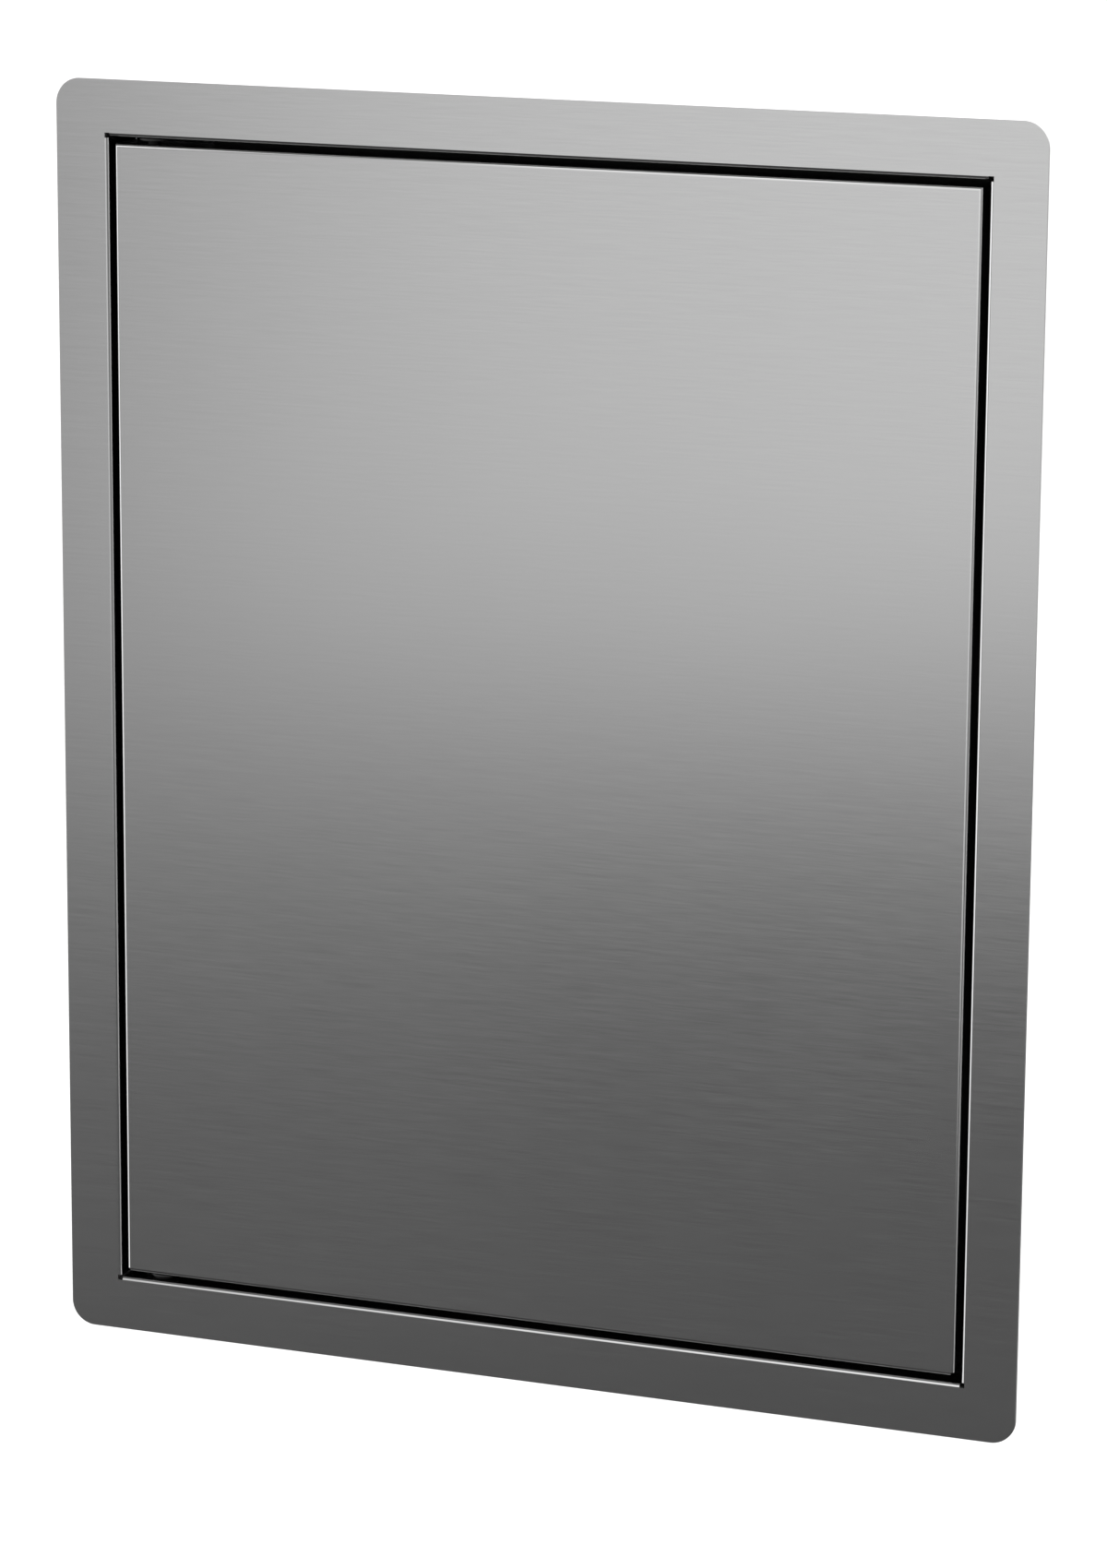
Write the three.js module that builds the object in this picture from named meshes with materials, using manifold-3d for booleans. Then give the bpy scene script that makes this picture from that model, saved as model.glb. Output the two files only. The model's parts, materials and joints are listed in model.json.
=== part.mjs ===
// A recessed medicine cabinet: a brushed steel frame and housing let into a wall, a flush
// push-to-open door on concealed pivots, three adjustable shelves and a mirror inside the door.
//
// Millimetres, +Z up. The wall's surface is the plane y = 0 and the room is on its -y side.
// The origin is the middle of the wall opening, in the wall's surface.

import * as THREE from 'three';
import { mergeVertices } from 'three/addons/utils/BufferGeometryUtils.js';
import Module from 'manifold-3d';

const wasm = await Module();
wasm.setup();

// ---------------------------------------------------------------- driving dimensions

const FIT_GAP = 0.3; // between neighbouring pieces

// front frame
const FLANGE_WIDTH = 400;
const FLANGE_HEIGHT = 508;
const FLANGE_CORNER_RADIUS = 10;
const FLANGE_FLAT = 20.7; // from the outer edge to the start of the bend
const FRAME_SHEET = 1.2;
const BEND_RADIUS = 1.5; // outside radius of every front bend
const TIGHT_BEND_RADIUS = 0.4;
const CORNER_RELIEF = 2; // square cut-out where two bends would meet
const LIP_SETBACK = 24; // wall surface to the stop lip behind the door
const LIP_WIDTH = 8;
const SEAL_START = 20; // pivot axis to the near ends of the level seals' bulbs
const SEAL_FOOT_DEPTH = 3.2;
const SEAL_FOOT_HEIGHT = 1.8;

// door
const DOOR_GAP = 2.6;
const DOOR_DEPTH = 18;
const DOOR_SHEET = 1.2;
const LINER_SHEET = 0.8;
const LINER_DEPTH = 7;
const MIRROR_WIDTH = 296;
const MIRROR_HEIGHT = 400;
const MIRROR_THICKNESS = 4;
const MIRROR_CORNER_RADIUS = 3;
const MIRROR_CLIP_X = 100;
const MIRROR_CLIP_SHEET = 1;
const MIRROR_CLIP_HALF_WIDTH = 7;
const MIRROR_CLIP_FOOT = 13; // beyond the glass, against the liner
const MIRROR_CLIP_TONGUE = 9; // over the glass
const MIRROR_CLIP_SCREW = 7.5; // edge of the glass to the screw

// housing and shelves
const HOUSING_SHEET = 0.8;
const HOUSING_FRONT = 0.05; // the walls start at the flange's rear
const HOUSING_DEPTH = 70;
const REAR_LIP = 12;
const SEAT_DEPTH = 0.3; // groove in the flange's rear that the walls stand in
const SEAT_MARGIN = 0.5; // groove's edge outside the walls
const STUD_HOLE_RADIUS = 2.5;
const STUD_HOLE_DEPTHS = [30, 62];
const STUD_HOLE_HEIGHT = 143; // above and below the middle
const SHELF_SHEET = 0.8;
const SHELF_FRONT = 27;
const SHELF_REAR = 64;
const SHELF_FRONT_LIP = 12;
const SHELF_REAR_LIP = 8;
const SHELF_HEM = 6;
const MIDDLE_SHELF_HEIGHT = 12;
const SLOT_PITCH = 28.575;
const SLOT_PITCHES_PER_SHELF = 4;
const SLOT_ROWS_BELOW = 7;
const SLOT_ROWS_ABOVE = 6;
const SLOT_DEPTH_POSITIONS = [36, 56];
const CLIP_SHEET = 1.2;
const CLIP_WIDTH = 8;
const CLIP_RISE = 8; // shelf level to the middle of the clip's slot
const CLIP_LEDGE = 11;

// pivots
const PIVOT_INSET = 14; // door edge to pivot axis
const PIVOT_SETBACK = 6.5; // door face to pivot axis
const PIN_RADIUS = 2.5;
const PIN_HOLE_RADIUS = 3;
const PIN_CHAMFER = 0.8;
const PIN_TAIL_RADIUS = 1.8;
const PIN_TAIL_LENGTH = 3.5;
const PIN_SHOULDER_RADIUS = 4.6;
const RIVET_HEAD_RADIUS = 3.2; // clear of the wall's surface
const RIVET_HEAD_HEIGHT = 1.5;
const BUSH_BORE_RADIUS = 2.95;
const BUSH_RADIUS = 3.7;
const BUSH_HOLE_RADIUS = 4;
const BUSH_FLANGE_RADIUS = 5.6;
const UPPER_FLANGE_THICKNESS = 0.8;
const LOWER_FLANGE_THICKNESS = 1;
const LOWER_BUSH_DEPTH = 7; // in its block
const LOWER_SOCKET_DEPTH = 8;
const LOWER_BLOCK_HEIGHT = 16;
const UPPER_BLOCK_FLOOR = 4;
const PIVOT_NOTCH_RADIUS = 3.8; // in the housing, round the ends of the pivots
const PIVOT_BLOCK_HALF_WIDTH = 9;
const CAVITY_RADIUS = 4;
const CAVITY_TOP = 221;
const CAVITY_FLOOR = 208;
const COLLAR_RADIUS = 3.6;
const COLLAR_HEIGHT = 2;
const PIVOT_SPRING = { meanRadius: 3.1, wireRadius: 0.35, turns: 5 };
const TAB_RADIUS = 1.25;
const TAB_SLOT_RADIUS = 1.8;
const TAB_TRAVEL = 6;
const TAB_Z = 219.7;
const TAB_REACH = 3; // behind the liner

// push latch
const LATCH_X = 159.5;
const LATCH_Z = -10;
const LATCH_FRONT = 26;
const LATCH_REAR = 62;
const LATCH_HALF_WIDTH = 7;
const LATCH_HALF_HEIGHT = 8;
const LATCH_BORE = 4.6;
const LATCH_BORE_END = 53;
const LATCH_VENT_RADIUS = 1.5;
const LATCH_PILOT_RADIUS = 1.5;
const LATCH_PILOT_DEPTH = 2.7;
const LATCH_SCREW_DEPTHS = [36, 50];
const LATCH_SCREW_RISE = 9; // latch axis to the screws in the wall
const PLUNGER_RADIUS = 4;
const PLUNGER_REAR = 44;
const LATCH_SPRING = { meanRadius: 3.3, wireRadius: 0.4, turns: 4 };
const MAGNET_LENGTH = 3.8;
const MAGNET_CHAMFER = 0.4;
const BRACKET_SHEET = 1.2;
const BRACKET_RISE = 13; // latch axis to the top of the bracket
const STRIKE_SHEET = 1;
const STRIKE_HALF_WIDTH = 7.5;
const STRIKE_HALF_HEIGHT = 13;
const STRIKE_SCREW_OFFSET = 9;

// screws, as head radius, head height and shank radius
const LINER_SCREW = [2.8, 1.4, 1.5];
const STRIKE_SCREW = [2.6, 1.2, 1.5];
const WALL_SCREW = [2.8, 1.5, 1.4];
const SEAT_SCREW = [2.4, 1.2, 1.2];
const SCREW_HOLE_RADIUS = 1.8;
const SEAT_HOLE_RADIUS = 1.6;

// small round pieces
const ROUND_STEPS = 16;
const SCREW_STEPS = 8;

// ---------------------------------------------------------------- derived places

const FACE_Y = -FRAME_SHEET;
const OPENING_X = FLANGE_WIDTH / 2 - FLANGE_FLAT - BEND_RADIUS;
const OPENING_Z = FLANGE_HEIGHT / 2 - FLANGE_FLAT - BEND_RADIUS;
const DOOR_X = OPENING_X - DOOR_GAP;
const DOOR_Z = OPENING_Z - DOOR_GAP;
const DOOR_REAR = FACE_Y + DOOR_DEPTH;
const DOOR_INSIDE = FACE_Y + DOOR_SHEET;
const LINER_X = DOOR_X - DOOR_SHEET - FIT_GAP;
const LINER_Z = DOOR_Z - DOOR_SHEET - FIT_GAP;
const LINER_REAR = DOOR_REAR - 0.2;
const ON_LINER = LINER_REAR + FIT_GAP;
const PIVOT_X = -DOOR_X + PIVOT_INSET;
const PIVOT_Y = FACE_Y + PIVOT_SETBACK;
const WALL_X = OPENING_X + FRAME_SHEET + FIT_GAP;
const WALL_Z = OPENING_Z + FRAME_SHEET + FIT_GAP;
const BACK_FRONT = HOUSING_DEPTH - HOUSING_SHEET;
const REAR_LIP_ZONE = [HOUSING_DEPTH - 4, HOUSING_DEPTH];
const CLIP_SCREW_Z = MIRROR_HEIGHT / 2 + MIRROR_CLIP_SCREW;
const LATCH_SCREW_Z = LATCH_Z + LATCH_SCREW_RISE;
const SHELF_SPACING = SLOT_PITCH * SLOT_PITCHES_PER_SHELF;
const SHELF_HEIGHTS = {
  lower: MIDDLE_SHELF_HEIGHT - SHELF_SPACING,
  middle: MIDDLE_SHELF_HEIGHT,
  upper: MIDDLE_SHELF_HEIGHT + SHELF_SPACING,
};

// ---------------------------------------------------------------- finishes

const FINISHES = {
  brushed: { color: 0xb4b6b8, roughness: 0.32, metalness: 1.0 },
  satin: { color: 0xa4a7aa, roughness: 0.45, metalness: 1.0 },
  plated: { color: 0xc2c4c2, roughness: 0.35, metalness: 1.0 },
  blackSteel: { color: 0x1c1d1f, roughness: 0.45, metalness: 0.8 },
  blackPlastic: { color: 0x1b1c1e, roughness: 0.5, metalness: 0.0 },
  whitePlastic: { color: 0xe6e4dc, roughness: 0.45, metalness: 0.0 },
  rubber: { color: 0x0d0d0e, roughness: 0.85, metalness: 0.0 },
  magnet: { color: 0x54575a, roughness: 0.4, metalness: 0.9 },
  mirror: { color: 0xe4eaec, roughness: 0.03, metalness: 1.0 },
};

const cabinet = new THREE.Group();

function addPiece(parent, name, geometry, finishName) {
  const material = new THREE.MeshStandardMaterial(FINISHES[finishName]);
  const mesh = new THREE.Mesh(geometry, material);
  mesh.name = name;
  parent.add(mesh);
  return mesh;
}

// ---------------------------------------------------------------- solids and booleans

function toSolid(geometry) {
  const bare = geometry.clone();
  bare.deleteAttribute('normal');
  bare.deleteAttribute('uv');
  const welded = mergeVertices(bare);
  const vertProperties = new Float32Array(welded.attributes.position.array);
  const triVerts = new Uint32Array(welded.index.array);
  return new wasm.Manifold(new wasm.Mesh({ numProp: 3, vertProperties, triVerts }));
}

function toGeometry(solid) {
  const mesh = solid.getMesh();
  const geometry = new THREE.BufferGeometry();
  geometry.setAttribute('position', new THREE.BufferAttribute(mesh.vertProperties, 3));
  geometry.setIndex(new THREE.BufferAttribute(mesh.triVerts, 1));
  return geometry;
}

function joined(...geometries) {
  const solids = geometries.map(toSolid);
  return toGeometry(solids.reduce((total, solid) => total.add(solid)));
}

function cut(geometry, ...tools) {
  return toGeometry(tools.map(toSolid).reduce((left, tool) => left.subtract(tool), toSolid(geometry)));
}

function common(first, second) {
  return toGeometry(toSolid(first).intersect(toSolid(second)));
}

// Extrudes a closed outline along an axis. Outline points are [y, z] along x, [x, z] along y
// and [x, y] along z.
function prism(outline, axis, from, to) {
  const shape = new THREE.Shape(outline.map(([u, v]) => new THREE.Vector2(u, v)));
  const geometry = new THREE.ExtrudeGeometry(shape, { depth: to - from, bevelEnabled: false });
  const x = new THREE.Vector3(1, 0, 0);
  const y = new THREE.Vector3(0, 1, 0);
  const z = new THREE.Vector3(0, 0, 1);
  const turn = new THREE.Matrix4();
  if (axis === 'x') turn.makeBasis(y, z, x).setPosition(from, 0, 0);
  if (axis === 'y') turn.makeBasis(x, z, y.clone().negate()).setPosition(0, to, 0);
  if (axis === 'z') turn.setPosition(0, 0, from);
  return geometry.applyMatrix4(turn);
}

function block([x0, x1], [y0, y1], [z0, z1]) {
  const geometry = new THREE.BoxGeometry(x1 - x0, y1 - y0, z1 - z0);
  return geometry.translate((x0 + x1) / 2, (y0 + y1) / 2, (z0 + z1) / 2);
}

// Turns a profile of [radius, height] points about an axis through a point.
// The heights are absolute positions along that axis.
function turned(profile, axis, [x, y, z], steps = ROUND_STEPS) {
  const points = profile.map(([radius, height]) => new THREE.Vector2(radius, height));
  const geometry = new THREE.LatheGeometry(points, steps);
  if (axis === 'x') return geometry.rotateZ(-Math.PI / 2).translate(0, y, z);
  if (axis === 'y') return geometry.translate(x, 0, z);
  return geometry.rotateX(Math.PI / 2).translate(x, y, 0);
}

function rod(radius, axis, centre, from, to, steps = ROUND_STEPS) {
  const profile = [[0, from], [radius, from], [radius, to], [0, to]];
  return turned(profile, axis, centre, steps);
}

// ---------------------------------------------------------------- folded sheet

// Replaces each inner corner of a path by an arc. Radii are given corner by corner.
function filleted(path, radii, steps = 4) {
  const result = [path[0]];
  for (let i = 1; i < path.length - 1; i += 1) {
    const corner = new THREE.Vector2(...path[i]);
    const back = new THREE.Vector2(...path[i - 1]).sub(corner).normalize();
    const ahead = new THREE.Vector2(...path[i + 1]).sub(corner).normalize();
    const halfAngle = Math.acos(back.dot(ahead)) / 2;
    const reach = radii[i - 1] / Math.tan(halfAngle);
    const bisector = back.clone().add(ahead).normalize();
    const centre = corner.clone().addScaledVector(bisector, radii[i - 1] / Math.sin(halfAngle));
    const start = corner.clone().addScaledVector(back, reach).sub(centre);
    const end = corner.clone().addScaledVector(ahead, reach).sub(centre);
    const sweep = Math.atan2(start.cross(end), start.dot(end));
    for (let step = 0; step <= steps; step += 1) {
      const spoke = start.clone().rotateAround(new THREE.Vector2(), (sweep * step) / steps);
      result.push([centre.x + spoke.x, centre.y + spoke.y]);
    }
  }
  result.push(path[path.length - 1]);
  return result;
}

// Gives a path a thickness on its right-hand side, as the outline of a folded sheet.
function sheetOutline(path, thickness) {
  const rightOf = (a, b) => new THREE.Vector2(b[1] - a[1], a[0] - b[0]).normalize();
  const offset = path.map((point, i) => {
    const before = i > 0 ? rightOf(path[i - 1], point) : rightOf(point, path[i + 1]);
    const after = i < path.length - 1 ? rightOf(point, path[i + 1]) : before;
    const mitre = before.clone().add(after).normalize();
    const length = thickness / mitre.dot(before);
    return [point[0] + mitre.x * length, point[1] + mitre.y * length];
  });
  return [...path, ...offset.reverse()];
}

function mirrored(outline) {
  return outline.map(([u, v]) => [-u, v]);
}

function swapped(outline) {
  return outline.map(([u, v]) => [v, u]);
}

// ---------------------------------------------------------------- front frame

function roundedRectangle(halfWidth, halfHeight, radius, stepsPerCorner) {
  const points = [];
  const corners = [[1, 1, 0], [-1, 1, 1], [-1, -1, 2], [1, -1, 3]];
  for (const [sideX, sideZ, quarter] of corners) {
    for (let step = 0; step <= stepsPerCorner; step += 1) {
      const angle = (quarter + step / stepsPerCorner) * (Math.PI / 2);
      const x = sideX * (halfWidth - radius) + radius * Math.cos(angle);
      const z = sideZ * (halfHeight - radius) + radius * Math.sin(angle);
      points.push([x, z]);
    }
  }
  return points;
}

// Section of one side of the frame: a bend off the flange, a return beside the door, a stop lip.
function frameSection(openingHalf) {
  const path = [
    [openingHalf + BEND_RADIUS + 1, FACE_Y],
    [openingHalf, FACE_Y],
    [openingHalf, LIP_SETBACK],
    [openingHalf - LIP_WIDTH, LIP_SETBACK],
  ];
  return sheetOutline(filleted(path, [BEND_RADIUS, TIGHT_BEND_RADIUS]), FRAME_SHEET);
}

// The shallow groove round the opening that the housing's front edges are welded into.
function housingSeat() {
  const outerX = WALL_X + HOUSING_SHEET + SEAT_MARGIN;
  const outerZ = WALL_Z + HOUSING_SHEET + SEAT_MARGIN;
  const innerX = OPENING_X + BEND_RADIUS;
  const innerZ = OPENING_Z + BEND_RADIUS;
  const whole = block([-outerX, outerX], [-SEAT_DEPTH, 1], [-outerZ, outerZ]);
  return cut(whole, block([-innerX, innerX], [-1, 2], [-innerZ, innerZ]));
}

function buildFrontFrame() {
  const plate = prism(
    roundedRectangle(FLANGE_WIDTH / 2, FLANGE_HEIGHT / 2, FLANGE_CORNER_RADIUS, 8),
    'y', FACE_Y, 0,
  );
  const flatX = OPENING_X + BEND_RADIUS;
  const flatZ = OPENING_Z + BEND_RADIUS;
  const window = block([-flatX, flatX], [FACE_Y - 1, 1], [-flatZ, flatZ]);
  const sideEnd = flatZ - CORNER_RELIEF;
  const topEnd = flatX - CORNER_RELIEF;
  const side = frameSection(OPENING_X);
  const top = swapped(frameSection(OPENING_Z));
  const bottom = top.map(([y, z]) => [y, -z]);
  const pivot = [PIVOT_X, PIVOT_Y, 0];
  const bushHole = rod(BUSH_HOLE_RADIUS, 'z', pivot, OPENING_Z - 1, OPENING_Z + 3);
  const pinHole = rod(PIN_RADIUS + FIT_GAP, 'z', pivot, -OPENING_Z - 3, -OPENING_Z + 1);
  const frame = joined(
    cut(plate, window),
    prism(side, 'z', -sideEnd, sideEnd),
    prism(mirrored(side), 'z', -sideEnd, sideEnd),
    prism(top, 'x', -topEnd, topEnd),
    prism(bottom, 'x', -topEnd, topEnd),
  );
  addPiece(cabinet, 'front_frame', cut(frame, housingSeat(), bushHole, pinHole), 'brushed');
}

// ---------------------------------------------------------------- housing

// Section of a housing wall: a plain wall with a lip folded inwards at the back.
function wallSection(wallHalf) {
  const lipFront = BACK_FRONT - FIT_GAP - HOUSING_SHEET;
  const path = [
    [wallHalf, HOUSING_FRONT],
    [wallHalf, lipFront],
    [wallHalf - REAR_LIP, lipFront],
  ];
  return sheetOutline(filleted(path, [TIGHT_BEND_RADIUS]), HOUSING_SHEET);
}

function clipSlots(side) {
  const slots = [];
  const across = side * WALL_X;
  for (let row = -SLOT_ROWS_BELOW; row <= SLOT_ROWS_ABOVE; row += 1) {
    const height = MIDDLE_SHELF_HEIGHT + CLIP_RISE + row * SLOT_PITCH;
    for (const depth of SLOT_DEPTH_POSITIONS) {
      const halfWidth = CLIP_WIDTH / 2 + 0.5;
      slots.push(block(
        [across - 3, across + 3],
        [depth - halfWidth, depth + halfWidth],
        [height - CLIP_SHEET / 2 - FIT_GAP, height + 3.6],
      ));
    }
  }
  return slots;
}

function studScrewHoles(side) {
  const holes = [];
  const across = side * WALL_X;
  for (const depth of STUD_HOLE_DEPTHS) {
    for (const height of [-STUD_HOLE_HEIGHT, STUD_HOLE_HEIGHT]) {
      const centre = [0, depth, height];
      holes.push(rod(STUD_HOLE_RADIUS, 'x', centre, across - 3, across + 3, SCREW_STEPS));
    }
  }
  return holes;
}

// Cut-outs that clear a wall's rear lip from its neighbours at the housing's corners.
function lipTrims(side) {
  const across = [side * (WALL_X - REAR_LIP - 1), side * WALL_X].sort((a, b) => a - b);
  const from = WALL_Z - FIT_GAP;
  const to = WALL_Z + 2;
  return [block(across, REAR_LIP_ZONE, [from, to]), block(across, REAR_LIP_ZONE, [-to, -from])];
}

function buildHousing() {
  const sideEnd = WALL_Z + HOUSING_SHEET;
  const section = wallSection(WALL_X);
  const latchHoles = LATCH_SCREW_DEPTHS.map((depth) => (
    rod(SCREW_HOLE_RADIUS, 'x', [0, depth, LATCH_SCREW_Z], WALL_X - 3, WALL_X + 3, SCREW_STEPS)
  ));
  const right = cut(
    prism(section, 'z', -sideEnd, sideEnd),
    ...clipSlots(1), ...studScrewHoles(1), ...lipTrims(1), ...latchHoles,
  );
  const left = cut(
    prism(mirrored(section), 'z', -sideEnd, sideEnd),
    ...clipSlots(-1), ...studScrewHoles(-1), ...lipTrims(-1),
  );
  addPiece(cabinet, 'housing_right_wall', right, 'satin');
  addPiece(cabinet, 'housing_left_wall', left, 'satin');

  const topEnd = WALL_X - FIT_GAP;
  const lipEnd = WALL_X - REAR_LIP - FIT_GAP;
  const topSection = swapped(wallSection(WALL_Z));
  for (const [name, side] of [['top', 1], ['bottom', -1]]) {
    const wall = prism(topSection.map(([y, z]) => [y, side * z]), 'x', -topEnd, topEnd);
    const heights = [side * (WALL_Z - REAR_LIP - 1), side * (WALL_Z - FIT_GAP)].sort((a, b) => a - b);
    const level = side * WALL_Z;
    const pivotNotch = rod(PIVOT_NOTCH_RADIUS, 'z', [PIVOT_X, PIVOT_Y, 0], level - 2, level + 2);
    const notches = [
      block([lipEnd, topEnd + 1], REAR_LIP_ZONE, heights),
      block([-topEnd - 1, -lipEnd], REAR_LIP_ZONE, heights),
    ];
    addPiece(cabinet, `housing_${name}_wall`, cut(wall, pivotNotch, ...notches), 'satin');
  }

  const backX = WALL_X + HOUSING_SHEET;
  const backZ = WALL_Z + HOUSING_SHEET;
  const back = block([-backX, backX], [BACK_FRONT, HOUSING_DEPTH], [-backZ, backZ]);
  addPiece(cabinet, 'housing_back', back, 'satin');
}

// ---------------------------------------------------------------- door seals

// Half-round seal section standing on the stop lip, pointing at the door's rear edge.
function sealSection(openingHalf) {
  const outer = openingHalf - 0.4;
  const inner = openingHalf - LIP_WIDTH + 0.8;
  const base = LIP_SETBACK - FIT_GAP;
  const tip = DOOR_REAR + 0.5;
  const middle = (outer + inner) / 2;
  const radius = (outer - inner) / 2;
  const points = [[inner, base], [outer, base]];
  const steps = 8;
  for (let step = 0; step <= steps; step += 1) {
    const angle = (Math.PI * step) / steps;
    points.push([middle + radius * Math.cos(angle), tip + radius - radius * Math.sin(angle)]);
  }
  return points;
}

// The level seals' bulbs stop short of the pivots, clear of the path of the door's rear edge.
// Their narrow feet run on to the corner, beyond the top and bottom of the door.
function buildSeals() {
  const startX = PIVOT_X + SEAL_START;
  const endX = OPENING_X - 0.4;
  const endZ = OPENING_Z - LIP_WIDTH - FIT_GAP;
  const bulb = swapped(sealSection(OPENING_Z));
  const footRear = LIP_SETBACK - FIT_GAP;
  const footOuter = OPENING_Z - 0.4;
  const foot = [
    [footRear - SEAL_FOOT_DEPTH, footOuter - SEAL_FOOT_HEIGHT],
    [footRear, footOuter - SEAL_FOOT_HEIGHT],
    [footRear, footOuter],
    [footRear - SEAL_FOOT_DEPTH, footOuter],
  ];
  for (const [name, side] of [['top', 1], ['bottom', -1]]) {
    const placed = (section) => section.map(([y, z]) => [y, side * z]);
    const body = prism(placed(bulb), 'x', startX, endX);
    const tail = prism(placed(foot), 'x', -endX, startX + SEAL_FOOT_DEPTH);
    addPiece(cabinet, `door_seal_${name}`, joined(body, tail), 'rubber');
  }
  addPiece(cabinet, 'door_seal_side', prism(sealSection(OPENING_X), 'z', -endZ, endZ), 'rubber');
}

// ---------------------------------------------------------------- shelves and their clips

function shelfSection(height) {
  const path = [
    [SHELF_FRONT + SHELF_HEM, height - SHELF_FRONT_LIP + SHELF_SHEET],
    [SHELF_FRONT + SHELF_SHEET, height - SHELF_FRONT_LIP + SHELF_SHEET],
    [SHELF_FRONT + SHELF_SHEET, height],
    [SHELF_REAR - SHELF_SHEET, height],
    [SHELF_REAR - SHELF_SHEET, height + SHELF_REAR_LIP],
  ];
  const radii = [0.3, 0.6, 1.2];
  return sheetOutline(filleted(path, radii, 3), -SHELF_SHEET);
}

// Section of a right-hand clip: a hook outside the wall, a tongue inside it, a ledge for the shelf.
function clipSection(shelfHeight) {
  const hookX = WALL_X + HOUSING_SHEET + FIT_GAP + CLIP_SHEET;
  const insideX = WALL_X - FIT_GAP;
  const hookTop = shelfHeight + CLIP_RISE + CLIP_SHEET / 2;
  const ledgeBottom = shelfHeight - FIT_GAP - CLIP_SHEET;
  const path = [
    [hookX, hookTop - 4],
    [hookX, hookTop],
    [insideX - CLIP_SHEET, hookTop],
    [insideX - CLIP_SHEET, ledgeBottom + CLIP_SHEET],
    [insideX - CLIP_SHEET - CLIP_LEDGE, ledgeBottom + CLIP_SHEET],
  ];
  return sheetOutline(path, -CLIP_SHEET);
}

function buildShelves() {
  const shelfEnd = WALL_X - 1.9;
  for (const [level, height] of Object.entries(SHELF_HEIGHTS)) {
    const shelf = prism(shelfSection(height), 'x', -shelfEnd, shelfEnd);
    addPiece(cabinet, `shelf_${level}`, shelf, 'satin');
    const section = clipSection(height);
    for (const [side, outline] of [['left', mirrored(section)], ['right', section]]) {
      SLOT_DEPTH_POSITIONS.forEach((depth, row) => {
        const clip = prism(outline, 'y', depth - CLIP_WIDTH / 2, depth + CLIP_WIDTH / 2);
        addPiece(cabinet, `shelf_clip_${level}_${side}_${['front', 'rear'][row]}`, clip, 'plated');
      });
    }
  }
}

// ---------------------------------------------------------------- springs and screws

class Helix extends THREE.Curve {
  constructor(radius, length, turns) {
    super();
    this.radius = radius;
    this.length = length;
    this.turns = turns;
  }

  getPoint(t, target = new THREE.Vector3()) {
    const angle = 2 * Math.PI * this.turns * t;
    return target.set(this.radius * Math.cos(angle), this.radius * Math.sin(angle), this.length * t);
  }
}

// A coil spring along +z, from z = 0, with the ends of its wire inside its length.
function spring({ meanRadius, wireRadius, turns }, length) {
  const sides = [0, 1, 2, 3, 4].map((side) => (side * 2 * Math.PI) / 5);
  const wire = new THREE.Shape(sides.map((angle) => (
    new THREE.Vector2(wireRadius * Math.cos(angle), wireRadius * Math.sin(angle))
  )));
  const helix = new Helix(meanRadius, length - 2 * wireRadius, turns);
  const options = { extrudePath: helix, steps: turns * 8, bevelEnabled: false };
  return new THREE.ExtrudeGeometry(wire, options).translate(0, 0, wireRadius);
}

// A pan-head screw: the head's flat underside is at "under", and the shank runs from it to "tip".
function screwProfile(under, tip, [headRadius, headHeight, shankRadius]) {
  const outward = Math.sign(under - tip);
  const top = under + outward * headHeight;
  const points = [
    [0, tip],
    [shankRadius * 0.6, tip],
    [shankRadius, tip + outward * 1.2],
    [shankRadius, under],
    [headRadius, under],
    [headRadius, under + outward * headHeight * 0.4],
    [headRadius * 0.6, top],
    [0, top],
  ];
  return outward > 0 ? points : points.reverse();
}

// ---------------------------------------------------------------- door

// A block whose edges along the face are rounded, made of two crossing rounded sections.
function panBlock(halfX, halfZ, front, rear, radius) {
  const section = (half) => {
    const path = [[-half, rear], [-half, front], [half, front], [half, rear]];
    return filleted(path, [radius, radius]);
  };
  const upright = prism(section(halfX), 'z', -halfZ, halfZ);
  const level = prism(swapped(section(halfZ)), 'x', -halfX, halfX);
  return common(upright, level);
}

function buildDoorSkin(door) {
  const inX = DOOR_X - DOOR_SHEET;
  const inZ = DOOR_Z - DOOR_SHEET;
  const outside = panBlock(DOOR_X, DOOR_Z, FACE_Y, DOOR_REAR, BEND_RADIUS);
  const inside = panBlock(inX, inZ, DOOR_INSIDE, DOOR_REAR + 1, BEND_RADIUS - DOOR_SHEET);
  const pivot = [PIVOT_X, PIVOT_Y, 0];
  const pinHole = rod(PIN_HOLE_RADIUS, 'z', pivot, DOOR_Z - 2, DOOR_Z + 1);
  const bushHole = rod(BUSH_HOLE_RADIUS, 'z', pivot, -DOOR_Z - 1, -DOOR_Z + 2);
  addPiece(door, 'door_skin', cut(outside, inside, pinHole, bushHole), 'brushed');
}

function tabSlot(depthFrom, depthTo) {
  return block(
    [PIVOT_X - TAB_SLOT_RADIUS, PIVOT_X + TAB_SLOT_RADIUS],
    [depthFrom, depthTo],
    [TAB_Z - TAB_TRAVEL - TAB_SLOT_RADIUS, TAB_Z + TAB_SLOT_RADIUS],
  );
}

function linerScrewHole(x, z) {
  return rod(SCREW_HOLE_RADIUS, 'y', [x, 0, z], LINER_REAR - 2, LINER_REAR + 1, SCREW_STEPS);
}

// A hole through a thin plate that lies on the liner.
function plateScrewHole(x, z) {
  return rod(SCREW_HOLE_RADIUS, 'y', [x, 0, z], ON_LINER - 1, ON_LINER + 2, SCREW_STEPS);
}

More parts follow.
